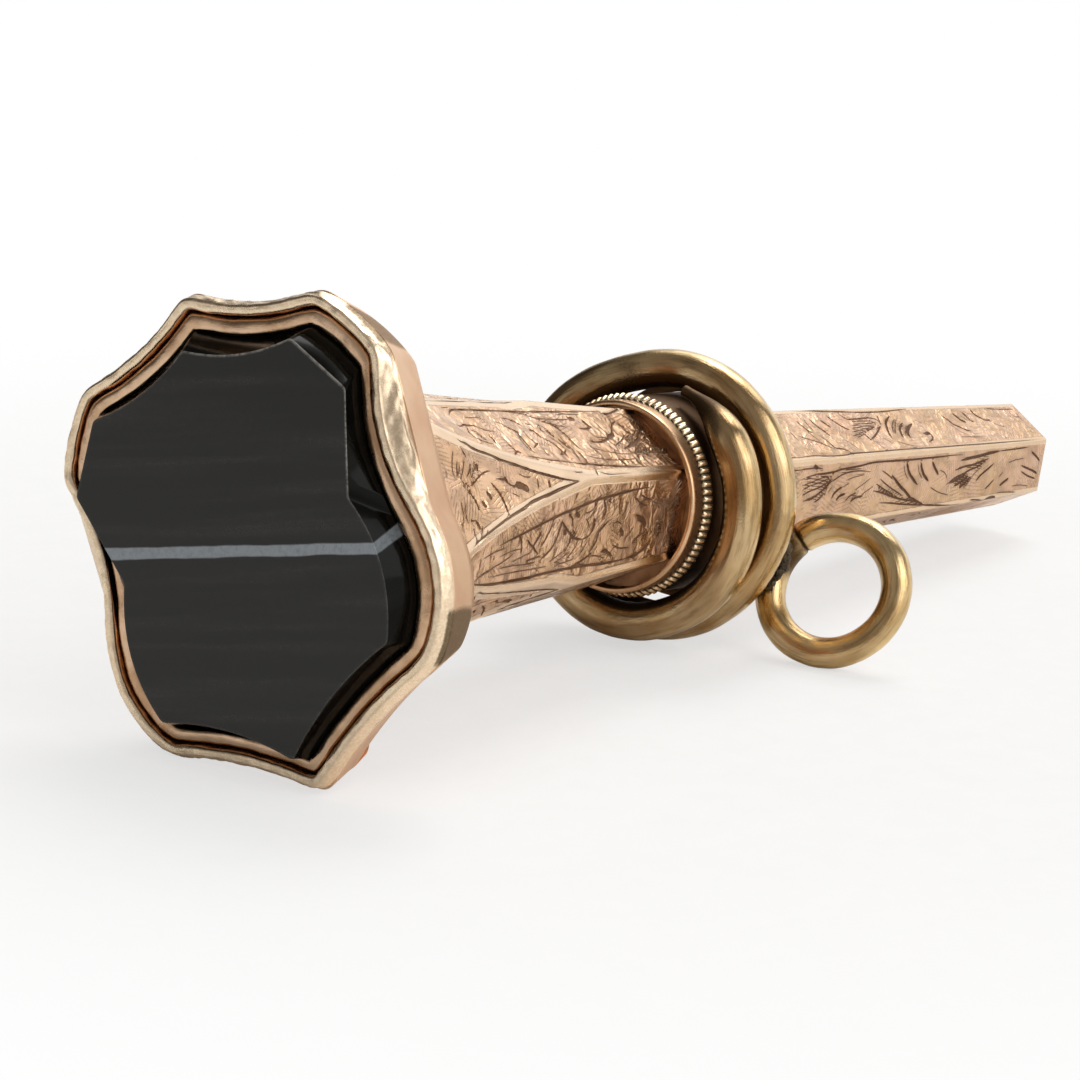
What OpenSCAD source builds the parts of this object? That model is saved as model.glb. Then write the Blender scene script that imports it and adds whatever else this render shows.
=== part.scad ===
// Pocket watch key with a shield shaped seal, a faceted stem and a swivel bow.
// Row frame: origin at the centre of the winding socket's mouth, +Z up,
// +X along the stem towards the mouth. The key lies as it lies on a table.
// Key frame, used by every module: z runs along the stem from the seal to
// the mouth and is 0 there, y points to the foot of the shield outline.

/* [Lying pose] */
// How far the key is rolled onto a lower corner of the seal, in degrees
lie_roll = 26.6; // [0:0.1:40]
// How far the stem dips towards the winding end, in degrees
lie_tilt = 5.3; // [0:0.1:12]

/* [Seal outline] */
// Height of the top point over the stem axis
top_point = 6.7; // [6.2:0.05:8]
// Half width at the inner end of the cut corners
corner_x = 4.2; // [3.6:0.05:4.8]
// Height of the inner end of the cut corners
corner_y = 5.4; // [5:0.05:6]
// Half width at the shoulders
shoulder_x = 5.8; // [5.4:0.05:7]
// Height of the shoulders
shoulder_y = 3.2; // [2.6:0.05:3.8]
// Half width where the side scoops end
waist_x = 5.65; // [5.3:0.05:7]
// Drop of the lower end of the side scoops
waist_y = 0.9; // [0.4:0.05:1.6]
// Half width at the lower end of the round lobes
lobe_x = 4.55; // [3.8:0.05:5]
// Drop of the lower end of the round lobes
lobe_y = 4.85; // [4.3:0.05:5.4]
// Drop of the foot point
foot_point = 7.0; // [6.6:0.05:8.5]
// Depth of the scoops beside the top point
top_scoop = 0.3; // [0:0.05:0.6]
// Swell of the cut corners
corner_swell = 0.15; // [0:0.05:0.4]
// Depth of the side scoops
side_scoop = 0.42; // [0:0.02:0.7]
// Swell of the lower lobes
lobe_swell = 0.62; // [0.2:0.02:1]
// Depth of the scoops beside the foot point
foot_scoop = 0.24; // [0:0.02:0.6]

/* [Seal case] */
// Wall of the case and thickness of its back plate
case_wall = 0.35; // [0.25:0.01:0.5]
// How much narrower the case is at its back, each side
case_taper = 0.5; // [0:0.05:0.6]
// Share of the side scoops that is filled out at the back of the case
back_fill = 1; // [0:0.1:1]
// Width of the rounded crest
crest_w = 0.42; // [0.36:0.01:0.5]
// Width of the setting strip that is rubbed against the stone
strip_w = 0.33; // [0.25:0.01:0.4]
// Share by which the strip's inner edge follows the corners of the stone's face
strip_follow = 0.25; // [0:0.05:0.4]
// Width of the ledge that carries the stone
bearer_w = 0.7; // [0.4:0.05:1]

/* [Stone] */
// Height of the stone's flat face over the crest
face_rise = 0.6; // [0.3:0.05:0.8]
// Drop of the ground bevel from the flat face to the setting strip
bevel_drop = 0.7; // [0.65:0.05:0.9]
// Thickness of the stone at its face
stone_t = 2.25; // [2:0.05:2.5]
// Height of the face's top point over the stem axis
face_top = 5.15; // [4.8:0.05:5.5]
// Half width of the face at its upper corners
face_corner_x = 3.5; // [3.2:0.05:3.7]
// Height of the face's upper corners
face_corner_y = 4.5; // [4.2:0.05:4.7]
// Half width of the face at its shoulders
face_shoulder_x = 4.62; // [4.3:0.02:4.8]
// Height of the face's shoulders
face_shoulder_y = 2.85; // [2.6:0.05:3.1]
// Half width of the face at its waist
face_waist_x = 3.97; // [3.7:0.01:4.3]
// Drop of the face's waist
face_waist_y = 0.1; // [-0.3:0.05:0.5]
// Half width of the face at the lower end of its lobes
face_lobe_x = 3.95; // [3.6:0.05:4.1]
// Drop of the lower end of the face's lobes
face_lobe_y = 3.95; // [3.7:0.05:4.2]
// Drop of the face's foot point
face_foot = 6.0; // [5.6:0.05:6.1]
// Depth of the scoops beside the face's top point
face_top_scoop = 0.26; // [0:0.02:0.4]
// Swell of the face's lobes
face_lobe_swell = 0.45; // [0.2:0.01:0.6]
// Depth of the scoops beside the face's foot point
face_foot_scoop = 0.27; // [0:0.01:0.4]
// Thickness of the cement bed and the ledge behind the stone
bed_t = 0.38; // [0.3:0.02:1.5]

/* [Front stem] */
// Length of the front stem
front_len = 15.0; // [12:0.1:20]
// Distance between two opposite facets where the stem meets the collar
front_flats = 4.54; // [4.3:0.02:5]
// Growth of that half distance for each millimetre towards the seal
front_slope = 0.073; // [0.05:0.001:0.09]
// Extra half distance of the flare at the seal
facet_flare = 1.15; // [0.3:0.05:1.3]
// Distance of the six corner facets from the axis
corner_facet = 3.26; // [3:0.02:3.5]
// Extra distance of the corner facets at the seal
corner_flare = 0.5; // [0.3:0.05:1.2]
// Length over which the facets' flare grows by a factor of e
facet_run = 2.8; // [1.8:0.1:4]
// Length over which the corner facets' flare grows by a factor of e
corner_run = 1.2; // [1:0.1:3]
// Sheet thickness of both stems
stem_wall = 0.34; // [0.25:0.01:0.4]

/* [Collar] */
// Outer radius of the collar sleeve
sleeve_r = 2.95; // [2.9:0.01:3]
// Sheet thickness of the sleeve
sleeve_wall = 0.25; // [0.2:0.01:0.28]
// Depth of the recess that takes the end of the front stem
recess = 0.5; // [0.2:0.05:0.8]
// Radius of the milled band
milled_r = 3.31; // [3.28:0.01:3.5]
// Width of the milled band
milled_w = 0.62; // [0.5:0.01:1]
// Distance of the milled band from the front edge of the sleeve
milled_set = 0.2; // [0.1:0.05:0.4]
// Number of ribs on the milled band
milled_ribs = 84; // [40:1:90]
// Depth of the grooves between the ribs
milled_cut = 0.09; // [0.04:0.01:0.14]
// Radius of the back flange
flange_r = 3.4; // [3.3:0.01:3.6]
// Thickness of the back flange
flange_t = 0.25; // [0.2:0.05:0.5]
// Radius of the spindle that joins the stems
spindle_r = 1.4; // [1:0.05:1.5]
// Wall of the spindle tube
spindle_wall = 0.4; // [0.25:0.05:0.6]
// Thickness of the plates that close the stems at the collar
end_plate = 0.6; // [0.4:0.05:1]

/* [Rear stem] */
// Length of the rear stem
rear_len = 19.9; // [15:0.1:25]
// Radius over the corners at the collar
rear_base_r = 2.36; // [2.2:0.01:2.8]
// Radius over the corners at the tip
rear_tip_r = 1.8; // [1.76:0.01:2.1]
// Side of the square winding socket
socket_side = 1.2; // [1:0.05:1.3]
// Depth of the winding socket
socket_depth = 5; // [3:0.1:7]
// Radius of the steel winding pipe
pipe_r = 0.98; // [0.95:0.01:1.02]
// Length of the winding pipe
pipe_len = 8; // [7.5:0.1:10]
// Thickness of the plate that closes the tip
tip_plate = 0.6; // [0.4:0.05:1]

/* [Wire ring and bow] */
// Radius of the ring's wire
ring_wire = 0.58; // [0.45:0.01:0.6]
// Radius of the ring at the middle of its wire
ring_r = 3.79; // [3.74:0.01:4]
// How far the loose ring hangs below the stem axis
ring_sag = 0.1; // [0:0.01:0.12]
// Distance between the ring's two turns, wire middle to wire middle
turn_pitch = 1.73; // [1.65:0.01:1.85]
// Radius of the bow's wire
bow_wire = 0.46; // [0.35:0.01:0.5]
// Radius of the bow at the middle of its wire
bow_r = 1.96; // [1.6:0.02:2.3]
// Distance of the bow's middle from the ring's axis
bow_out = 5.6; // [5.5:0.02:6.2]
// Distance of the bow's middle behind the ring's back turn
bow_back = 1.4; // [1.38:0.01:1.7]
// Direction of the bow round the stem, in degrees from the near side
bow_turn = 48.4; // [40:0.5:60]
// Twist of the bow out of the ring's plane, in degrees
bow_twist = -25; // [-30:1:-10]
// How far the solder runs along the ring to each side of the bow, in degrees
solder_reach = 18; // [10:1:24]

/* [Hidden] */
gold = [0.80, 0.62, 0.48];
rose = [0.79, 0.61, 0.47];
yellow_gold = [0.74, 0.60, 0.36];
agate = [0.16, 0.15, 0.15];
shellac = [0.36, 0.20, 0.12];
steel = [0.45, 0.44, 0.42];
solder_grey = [0.30, 0.27, 0.22];

// Assembly gap between pieces that are soldered or cemented face to face
fit = 0.01;
// Running gap between the turning ring and the flanges beside it
run_gap = 0.05;

// The sleeve is as long as what it carries
sleeve_len = milled_set + milled_w + 2 * run_gap + 2 * ring_wire + turn_pitch + flange_t;

// The case is as deep as what it holds, from its crest to its back
stone_back = stone_t - face_rise;
stone_edge_d = bevel_drop - face_rise;
back_plate_d = stone_back + bed_t + 2 * fit;
case_depth = back_plate_d + case_wall;

// Stations along the key, all measured from the mouth
rear_base_z = -rear_len;
sleeve_back_z = rear_base_z - fit;
sleeve_front_z = sleeve_back_z - sleeve_len;
front_end_z = sleeve_front_z + recess - fit;
front_foot_z = front_end_z - front_len;
crest_z = front_foot_z - fit - case_depth;
milled_z = sleeve_front_z + milled_set;
flange_z = sleeve_back_z - flange_t;
front_turn_z = milled_z + milled_w + run_gap + ring_wire;
back_turn_z = front_turn_z + turn_pitch;

// The way down and the way up, seen along the stem
down_angle = 90 + lie_roll;
ring_x = ring_sag * cos(down_angle);
ring_y = ring_sag * sin(down_angle);

module lay() {
    rotate([0, lie_tilt, 0])
        rotate([-90 - lie_roll, 0, 0])
            rotate([0, 90, 0])
                children();
}

// Shield outline: five shallow curves down the right side, then mirrored
function curve(p, q, swell, n) =
    let (d = q - p, l = norm(d), side = [d[1], -d[0]] / l)
    [for (i = [0:n - 1]) let (t = i / n) p + d * t + side * swell * 4 * t * (1 - t)];
top_p = [0, -top_point];
corner_p = [corner_x, -corner_y];
shoulder_p = [shoulder_x, -shoulder_y];
waist_p = [waist_x, waist_y];
lobe_p = [lobe_x, lobe_y];
foot_p = [0, foot_point];
case_points = [top_p, corner_p, shoulder_p, waist_p, lobe_p, foot_p];
face_points = [[0, -face_top], [face_corner_x, -face_corner_y], [face_shoulder_x, -face_shoulder_y],
               [face_waist_x, face_waist_y], [face_lobe_x, face_lobe_y], [0, face_foot]];
line_steps = [8, 5, 8, 9, 8];
function half_line(points, swells) = concat(
    [for (k = [0:4]) each curve(points[k], points[k + 1], swells[k], line_steps[k])],
    [points[5]]);
function case_half(fill) = half_line(case_points,
    [-top_scoop, corner_swell, -side_scoop * (1 - fill), lobe_swell, -foot_scoop]);
face_half = half_line(face_points, [-face_top_scoop, 0, 0, face_lobe_swell, -face_foot_scoop]);
function mirrored(half) = concat(half,
    [for (i = [len(half) - 2:-1:1]) [-half[i][0], half[i][1]]]);
function softened(line) = let (n = len(line))
    [for (i = [0:n - 1]) (line[(i + n - 1) % n] + 2 * line[i] + line[(i + 1) % n]) / 4];
function turned(v) = [v[1], -v[0]];
line_n = 2 * len(face_half) - 2;
face_line = mirrored(face_half);
// The inset follows the outline's normal, the draw goes straight to the axis
function shield_at(inset, draw, fill) = let (line = softened(mirrored(case_half(fill))))
    [for (i = [0:line_n - 1])
        let (d = line[(i + 1) % line_n] - line[(i + line_n - 1) % line_n],
             p = line[i] - turned(d) / norm(d) * inset)
        p - p / norm(p) * draw];
// A row of a section is [inset, depth below the crest, draw, fill, follow]. Follow is
// the share by which the row leaves the case's outline for that of the stone's face.
function part_of(s, k) = len(s) > k ? s[k] : 0;
function row_points(s) =
    let (line = shield_at(s[0], part_of(s, 2), part_of(s, 3)), w = part_of(s, 4))
    [for (i = [0:line_n - 1])
        let (p = (1 - w) * line[i] + w * face_line[i])
        [p[0], p[1], crest_z + s[1]]];
// The wall's scoops run out towards its back
function fill_at(depth) = back_fill * max(0, min(1, (depth / case_depth - 0.2) / 0.65));
function wall_row(inset, depth, draw = 0) = [inset, depth, draw, fill_at(depth)];

// Closed ring whose section is a loop of rows
module shield_ring(section) {
    rings = len(section);
    points = [for (s = section) each row_points(s)];
    faces = [for (j = [0:rings - 1]) for (i = [0:line_n - 1])
        let (a = j * line_n + i, b = j * line_n + (i + 1) % line_n,
             k = (j + 1) % rings, c = k * line_n + (i + 1) % line_n, d = k * line_n + i)
        each [[a, b, c], [a, c, d]]];
    polyhedron(points, faces, convexity = 6);
}

// Solid slab whose side is a list of rows, first to last
module shield_slab(section) {
    rings = len(section);
    points = [for (s = section) each row_points(s)];
    sides = [for (j = [0:rings - 2]) for (i = [0:line_n - 1])
        let (a = j * line_n + i, b = j * line_n + (i + 1) % line_n,
             c = (j + 1) * line_n + (i + 1) % line_n, d = (j + 1) * line_n + i)
        each [[a, b, c], [a, c, d]]];
    front = [for (i = [line_n - 1:-1:0]) i];
    back = [for (i = [0:line_n - 1]) (rings - 1) * line_n + i];
    polyhedron(points, concat(sides, [front, back]), convexity = 6);
}

strip_in = crest_w + fit;
strip_low = stone_back - 0.28;
stone_in = strip_in + strip_w + 2 * fit;
back_in = case_taper + 2 * case_wall;
bearer_in = case_taper + case_wall + fit;

module seal_collet() {
    color(gold) shield_ring([
        wall_row(back_in, case_depth),
        wall_row(case_taper + 0.7 * case_wall, case_depth - 0.25 * case_wall),
        wall_row(case_taper + 0.15 * case_wall, case_depth - 1.2 * case_wall),
        wall_row(0.55 * case_taper, 0.6 * case_depth),
        wall_row(0.12 * case_taper, 0.36 * case_depth),
        wall_row(0, 0.9 * crest_w),
        [0.1 * crest_w, 0.4 * crest_w],
        [0.32 * crest_w, 0.08 * crest_w],
        [0.6 * crest_w, 0],
        [0.88 * crest_w, 0.2 * crest_w],
        [crest_w, 0.6 * crest_w],
        [crest_w, strip_low + fit],
        wall_row(case_taper + case_wall, stone_back),
        wall_row(case_taper + case_wall, back_plate_d - 0.6 * case_wall),
        wall_row(back_in, back_plate_d - fit)]);
}

module setting_strip() {
    color(rose) shield_ring([
        [strip_in, strip_low],
        [strip_in, 0.4 * strip_w],
        [strip_in + 0.15 * strip_w, 0.1 * strip_w],
        [strip_in + 0.45 * strip_w, 0, 0, 0, 0.3 * strip_follow],
        [strip_in + 0.8 * strip_w, 0.1 * strip_w, 0, 0, 0.75 * strip_follow],
        [strip_in + strip_w, 0.4 * strip_w, 0, 0, strip_follow],
        [strip_in + strip_w, strip_low, 0, 0, strip_follow]]);
}

module stone_bearer() {
    color(rose) shield_ring([
        wall_row(bearer_in, stone_back + fit),
        wall_row(bearer_in, stone_back + fit, bearer_w),
        wall_row(bearer_in, back_plate_d - fit, bearer_w),
        wall_row(back_in + 0.05, back_plate_d - fit),
        wall_row(bearer_in, back_plate_d - 0.7 * case_wall)]);
}

module seal_stone() {
    color(agate) shield_slab([
        [stone_in, -face_rise, 0, 0, 1],
        [stone_in, stone_edge_d, 0, 0, strip_follow],
        [stone_in, strip_low - 0.1, 0, 0, strip_follow],
        [bearer_in, stone_back, 0, 0, strip_follow]]);
}

module cement_bed() {
    color(shellac) shield_slab([
        wall_row(bearer_in, stone_back + fit, bearer_w + 2 * fit),
        wall_row(bearer_in, back_plate_d - fit, bearer_w + 2 * fit)]);
}

module collet_back() {
    color(gold) shield_slab([
        wall_row(back_in + fit, back_plate_d),
        wall_row(back_in + fit, case_depth)]);
}

// Half distance of a facet at a distance from the collar end of the stem
function flare(d, run) = exp((d - front_len) / run);
function facet_at(d) = front_flats / 2 + front_slope * d + facet_flare * flare(d, facet_run);
function corner_at(d) = corner_facet + corner_flare * flare(d, corner_run);
stem_steps = [for (i = [0:14]) front_len * (1 - pow(1 - i / 14, 1.5))];

// Slab between two opposite facets: the profile on both sides of the axis
module facet_slab(profile, width) {
    outline = concat(
        [for (p = profile) [p[0], p[1]]],
        [for (i = [len(profile) - 1:-1:0]) [-profile[i][0], profile[i][1]]]);
    rotate([90, 0, 0])
        linear_extrude(height = width, center = true)
            polygon(outline);
}

module faceted_trumpet(inset, reach) {
    facets = [for (d = stem_steps) [facet_at(d) - inset, front_end_z - d]];
    corners = [for (d = stem_steps) [corner_at(d) - inset, front_end_z - d]];
    ends = [[facet_at(0) - inset, front_end_z + reach]];
    corner_ends = [[corner_at(0) - inset, front_end_z + reach]];
    feet = [[facet_at(front_len) - inset, front_foot_z - reach]];
    corner_feet = [[corner_at(front_len) - inset, front_foot_z - reach]];
    wide = 4 * corner_at(front_len);
    intersection() {
        rotate(30) facet_slab(concat(ends, facets, feet), wide);
        rotate(90) facet_slab(concat(ends, facets, feet), wide);
        rotate(150) facet_slab(concat(ends, facets, feet), wide);
        facet_slab(concat(corner_ends, corners, corner_feet), wide);
        rotate(60) facet_slab(concat(corner_ends, corners, corner_feet), wide);
        rotate(120) facet_slab(concat(corner_ends, corners, corner_feet), wide);
    }
}

module front_stem() {
    color(rose) difference() {
        intersection() {
            faceted_trumpet(0, 1);
            translate([0, 0, front_foot_z]) cylinder(r = 20, h = front_len);
        }
        faceted_trumpet(stem_wall, 2);
    }
}

module hex_prism(flat_half, z, height) {
    translate([0, 0, z]) cylinder(r = flat_half / cos(30), h = height, $fn = 6);
}

module front_end_plate() {
    color(rose) difference() {
        hex_prism(front_flats / 2 - stem_wall - fit, front_end_z - end_plate, end_plate);
        translate([0, 0, front_end_z - end_plate - 1])
            cylinder(r = spindle_r + fit, h = end_plate + 2, $fn = 64);
    }
}

spindle_front_z = front_end_z - 2 * end_plate;
spindle_back_z = rear_base_z + 2 * end_plate;
module spindle() {
    color(rose) difference() {
        translate([0, 0, spindle_front_z])
            cylinder(r = spindle_r, h = spindle_back_z - spindle_front_z, $fn = 64);
        translate([0, 0, spindle_front_z - 1])
            cylinder(r = spindle_r - spindle_wall, h = spindle_back_z - spindle_front_z + 2, $fn = 64);
    }
}

module ring_at(outer, inner, z, height) {
    difference() {
        translate([0, 0, z]) cylinder(r = outer, h = height, $fn = 96);
        translate([0, 0, z - 1]) cylinder(r = inner, h = height + 2, $fn = 96);
    }
}

module collar_bush() {
    color(gold)
        ring_at(sleeve_r - sleeve_wall - fit, spindle_r + fit,
                sleeve_front_z + recess, sleeve_len - recess);
}

module collar_sleeve() {
    color(gold) ring_at(sleeve_r, sleeve_r - sleeve_wall, sleeve_front_z, sleeve_len);
}

// Band with two rows of ribs, the second half a rib further round
module rib_row(z, height, start) {
    step = 180 / milled_ribs;
    translate([0, 0, z]) linear_extrude(height = height)
        polygon([for (i = [0:2 * milled_ribs - 1])
            (milled_r - (i % 2) * milled_cut)
            * [cos(start + i * step), sin(start + i * step)]]);
}

module milled_band() {
    row = milled_w / 2;
    color(gold) difference() {
        union() {
            rib_row(milled_z, row, 0);
            rib_row(milled_z + row, row, 180 / milled_ribs);
        }
        translate([0, 0, milled_z - 1])
            cylinder(r = sleeve_r + fit, h = milled_w + 2, $fn = 96);
    }
}

module back_flange() {
    color(gold) ring_at(flange_r, sleeve_r + fit, flange_z, flange_t);
}

// Straight taper: three slabs between opposite facets
module hex_taper(base_half, tip_half, z0, z1) {
    profile = [[base_half, z0], [tip_half, z1]];
    intersection() {
        rotate(30) facet_slab(profile, 12);
        rotate(90) facet_slab(profile, 12);
        rotate(150) facet_slab(profile, 12);
    }
}

rear_base_half = rear_base_r * cos(30);
rear_tip_half = rear_tip_r * cos(30);
rear_slope = (rear_tip_half - rear_base_half) / rear_len;
function rear_half_at(z) = rear_tip_half + rear_slope * z;

module rear_stem() {
    color(rose) difference() {
        hex_taper(rear_base_half, rear_tip_half, rear_base_z, 0);
        hex_taper(rear_half_at(rear_base_z - 1) - stem_wall, rear_half_at(1) - stem_wall,
                  rear_base_z - 1, 1);
    }
}

module rear_end_plate() {
    color(rose) difference() {
        hex_taper(rear_base_half - stem_wall - fit, rear_half_at(rear_base_z + end_plate) - stem_wall - fit,
                  rear_base_z, rear_base_z + end_plate);
        translate([0, 0, rear_base_z - 1])
            cylinder(r = spindle_r + fit, h = end_plate + 2, $fn = 64);
    }
}

module winding_pipe() {
    color(steel) difference() {
        translate([0, 0, -pipe_len]) cylinder(r = pipe_r, h = pipe_len, $fn = 64);
        translate([-socket_side / 2, -socket_side / 2, -socket_depth])
            cube([socket_side, socket_side, socket_depth + 1]);
    }
}

module tip_plate_ring() {
    color(rose) difference() {
        hex_taper(rear_half_at(-tip_plate) - stem_wall - fit, rear_tip_half - stem_wall - fit,
                  -tip_plate, 0);
        translate([0, 0, -tip_plate - 1])
            cylinder(r = pipe_r + fit, h = tip_plate + 2, $fn = 64);
    }
}

// The wire starts in front, runs once round, steps back behind its own
// start and runs nearly once more. Angles count from the near side.
wire_start = -56;
wire_step_from = 238;
wire_step_to = 300;
wire_end = 592;
function eased(t) = t * t * (3 - 2 * t);
function wire_z(a) =
    a <= wire_step_from ? front_turn_z :
    a >= wire_step_to ? back_turn_z :
    front_turn_z + turn_pitch * eased((a - wire_step_from) / (wire_step_to - wire_step_from));
wire_rings = 88;
wire_sides = 10;
wire_angles = [for (i = [0:wire_rings]) wire_start + (wire_end - wire_start) * i / wire_rings];
wire_path = [for (a = wire_angles) [ring_r * cos(a), ring_r * sin(a), wire_z(a)]];
function wire_dir(i) =
    let (a = max(0, i - 1), b = min(wire_rings, i + 1), d = wire_path[b] - wire_path[a])
    d / norm(d);
wire_gap = min([for (i = [0:wire_rings]) for (j = [0:wire_rings])
    if (abs(wire_angles[i] - wire_angles[j]) > 90) norm(wire_path[i] - wire_path[j])]) - 2 * ring_wire;
echo(least_gap_between_turns = wire_gap);

module wire_ring() {
    points = concat(
        [wire_path[0] - wire_dir(0) * 0.35 * ring_wire],
        [for (i = [0:wire_rings])
            let (a = wire_angles[i], out = [cos(a), sin(a), 0], up = cross(wire_dir(i), out))
            for (k = [0:wire_sides - 1])
                let (b = 360 * k / wire_sides)
                wire_path[i] + ring_wire * (cos(b) * out + sin(b) * up)],
        [wire_path[wire_rings] + wire_dir(wire_rings) * 0.35 * ring_wire]);
    last = len(points) - 1;
    skin = [for (i = [0:wire_rings - 1]) for (k = [0:wire_sides - 1])
        let (a = 1 + i * wire_sides + k, b = 1 + i * wire_sides + (k + 1) % wire_sides)
        each [[a, a + wire_sides, b + wire_sides], [a, b + wire_sides, b]]];
    caps = [for (k = [0:wire_sides - 1])
        let (n = (k + 1) % wire_sides, e = 1 + wire_rings * wire_sides)
        each [[0, 1 + k, 1 + n], [last, e + n, e + k]]];
    color(yellow_gold) translate([ring_x, ring_y, 0])
        polyhedron(points, concat(skin, caps), convexity = 8);
}

module bow_place() {
    translate([ring_x, ring_y, back_turn_z + bow_back])
        rotate(bow_turn)
            translate([bow_out, 0, 0])
                rotate([bow_twist, 0, 0])
                    children();
}

module bow_loop() {
    color(yellow_gold) bow_place()
        rotate_extrude($fn = 96) translate([bow_r, 0]) circle(r = bow_wire, $fn = 32);
}

module bow_solder() {
    size = 0.85 * bow_wire;
    color(solder_grey) difference() {
        hull() {
            bow_place() translate([-bow_r, 0, 0]) sphere(r = 1.15 * bow_wire, $fn = 24);
            for (turn = [-solder_reach, 4, solder_reach])
                translate([ring_x, ring_y, 0]) rotate(bow_turn + turn)
                    translate([ring_r + 0.25 * ring_wire, 0, back_turn_z + 0.7 * ring_wire])
                        sphere(r = size, $fn = 24);
        }
        bow_place() rotate_extrude($fn = 96) translate([bow_r, 0]) circle(r = bow_wire + fit, $fn = 32);
        translate([ring_x, ring_y, back_turn_z])
            rotate_extrude($fn = 96) translate([ring_r, 0]) circle(r = ring_wire + fit, $fn = 32);
        // The lump is filed clear of the flange that it passes
        translate([ring_x, ring_y, flange_z - 1])
            cylinder(r = flange_r + ring_sag + run_gap, h = flange_t + 1 + run_gap, $fn = 96);
    }
}

lay() seal_collet();
lay() setting_strip();
lay() stone_bearer();
lay() seal_stone();
lay() cement_bed();
lay() collet_back();
lay() front_stem();
lay() front_end_plate();
lay() spindle();
lay() collar_bush();
lay() collar_sleeve();
lay() milled_band();
lay() back_flange();
lay() rear_end_plate();
lay() rear_stem();
lay() winding_pipe();
lay() tip_plate_ring();
lay() wire_ring();
lay() bow_loop();
lay() bow_solder();
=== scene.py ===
import math
import bpy
import bmesh
import numpy as np
from mathutils import Matrix, Vector, noise


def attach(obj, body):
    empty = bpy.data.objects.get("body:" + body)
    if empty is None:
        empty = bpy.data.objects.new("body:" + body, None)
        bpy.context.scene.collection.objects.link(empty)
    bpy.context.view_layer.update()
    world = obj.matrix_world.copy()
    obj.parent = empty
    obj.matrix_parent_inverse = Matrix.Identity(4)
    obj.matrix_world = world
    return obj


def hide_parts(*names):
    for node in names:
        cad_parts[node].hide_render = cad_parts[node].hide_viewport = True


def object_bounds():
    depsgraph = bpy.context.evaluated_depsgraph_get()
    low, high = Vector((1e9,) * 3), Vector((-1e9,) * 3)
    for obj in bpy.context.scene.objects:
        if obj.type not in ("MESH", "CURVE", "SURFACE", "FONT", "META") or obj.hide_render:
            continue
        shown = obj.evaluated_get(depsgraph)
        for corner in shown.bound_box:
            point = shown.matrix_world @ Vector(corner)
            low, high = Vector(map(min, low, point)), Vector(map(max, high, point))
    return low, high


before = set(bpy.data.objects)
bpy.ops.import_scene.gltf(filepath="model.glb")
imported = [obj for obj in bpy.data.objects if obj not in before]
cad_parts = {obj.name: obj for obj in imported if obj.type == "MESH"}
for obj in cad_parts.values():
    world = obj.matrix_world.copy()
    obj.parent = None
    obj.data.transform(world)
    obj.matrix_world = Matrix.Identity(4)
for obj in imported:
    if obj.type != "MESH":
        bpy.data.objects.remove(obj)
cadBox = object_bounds()
print("packed key loaded:", len(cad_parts), "pieces")

# The key is modelled in millimetres with z along its stem, 0 at the mouth,
# then laid down as it lies on the table.
lying = {"roll": 26.6, "tilt": 5.3, "ringSag": 0.1}
station = {"flangeBack": -19.91, "flangeFront": -20.16, "backTurn": -20.79, "frontTurn": -22.52,
           "bandBack": -23.15, "stemEnd": -23.48, "sleeveFront": -23.97, "crest": -40.89}
layTurn = (Matrix.Rotation(math.radians(lying["tilt"]), 4, "Y")
           @ Matrix.Rotation(math.radians(-lying["roll"]), 4, "X")
           @ Matrix(((0, 0, 1, 0), (-1, 0, 0, 0), (0, -1, 0, 0), (0, 0, 0, 1))))
layDown = layTurn @ Matrix.Scale(0.001, 4)
sagAngle = math.radians(90 + lying["roll"])
ringCentre = Vector((lying["ringSag"] * math.cos(sagAngle), lying["ringSag"] * math.sin(sagAngle), 0))


def clearSelection():
    if bpy.context.object and bpy.context.object.mode != "OBJECT":
        bpy.ops.object.mode_set(mode="OBJECT")
    bpy.ops.object.select_all(action="DESELECT")


def pickOnly(piece):
    clearSelection()
    piece.select_set(True)
    bpy.context.view_layer.objects.active = piece


def layPiece(piece, name, body, nodes, finish, smoothAngle):
    piece.name = name
    piece.data.name = name
    pickOnly(piece)
    piece.matrix_world = layDown @ piece.matrix_world
    bpy.ops.object.transform_apply(location=True, rotation=True, scale=True)
    bpy.ops.object.shade_smooth_by_angle(angle=math.radians(smoothAngle))
    piece.data.materials.clear()
    piece.data.materials.append(finish)
    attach(piece, body)
    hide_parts(*nodes)
    print("  made", name, len(piece.data.polygons), "faces")


def tidyMesh(piece, distance=0.0005):
    pickOnly(piece)
    bpy.ops.object.mode_set(mode="EDIT")
    bpy.ops.mesh.select_all(action="SELECT")
    bpy.ops.mesh.remove_doubles(threshold=distance)
    bpy.ops.mesh.normals_make_consistent(inside=False)
    bpy.ops.object.mode_set(mode="OBJECT")


def handWork(piece, amount, size, seed, share=None):
    # nothing on the key is machine true: push the skin in and out a little
    shift = Vector((seed * 3.1, seed * 1.7, seed * 5.3))
    normals = [v.normal.copy() for v in piece.data.vertices]
    for i, (v, n) in enumerate(zip(piece.data.vertices, normals)):
        p = v.co / size + shift
        push = amount * (noise.noise(p) + 0.4 * noise.noise(p * 2.7))
        v.co += n * (push if share is None else push * share[i])


def rise(values, start, width):
    # 0 up to the start, then up to 1
    return np.clip((values - start) / width, 0, 1)


def fall(values, end, width):
    # up to 1 well before the end, 0 from there on
    return np.clip((end - values) / width, 0, 1)


def setAttribute(piece, name, values):
    values = np.asarray(values, dtype=np.float32)
    if values.ndim == 1:
        piece.data.attributes.new(name, "FLOAT", "POINT").data.foreach_set("value", values)
    else:
        piece.data.attributes.new(name, "FLOAT_VECTOR", "POINT").data.foreach_set("vector", values.ravel())


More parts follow.
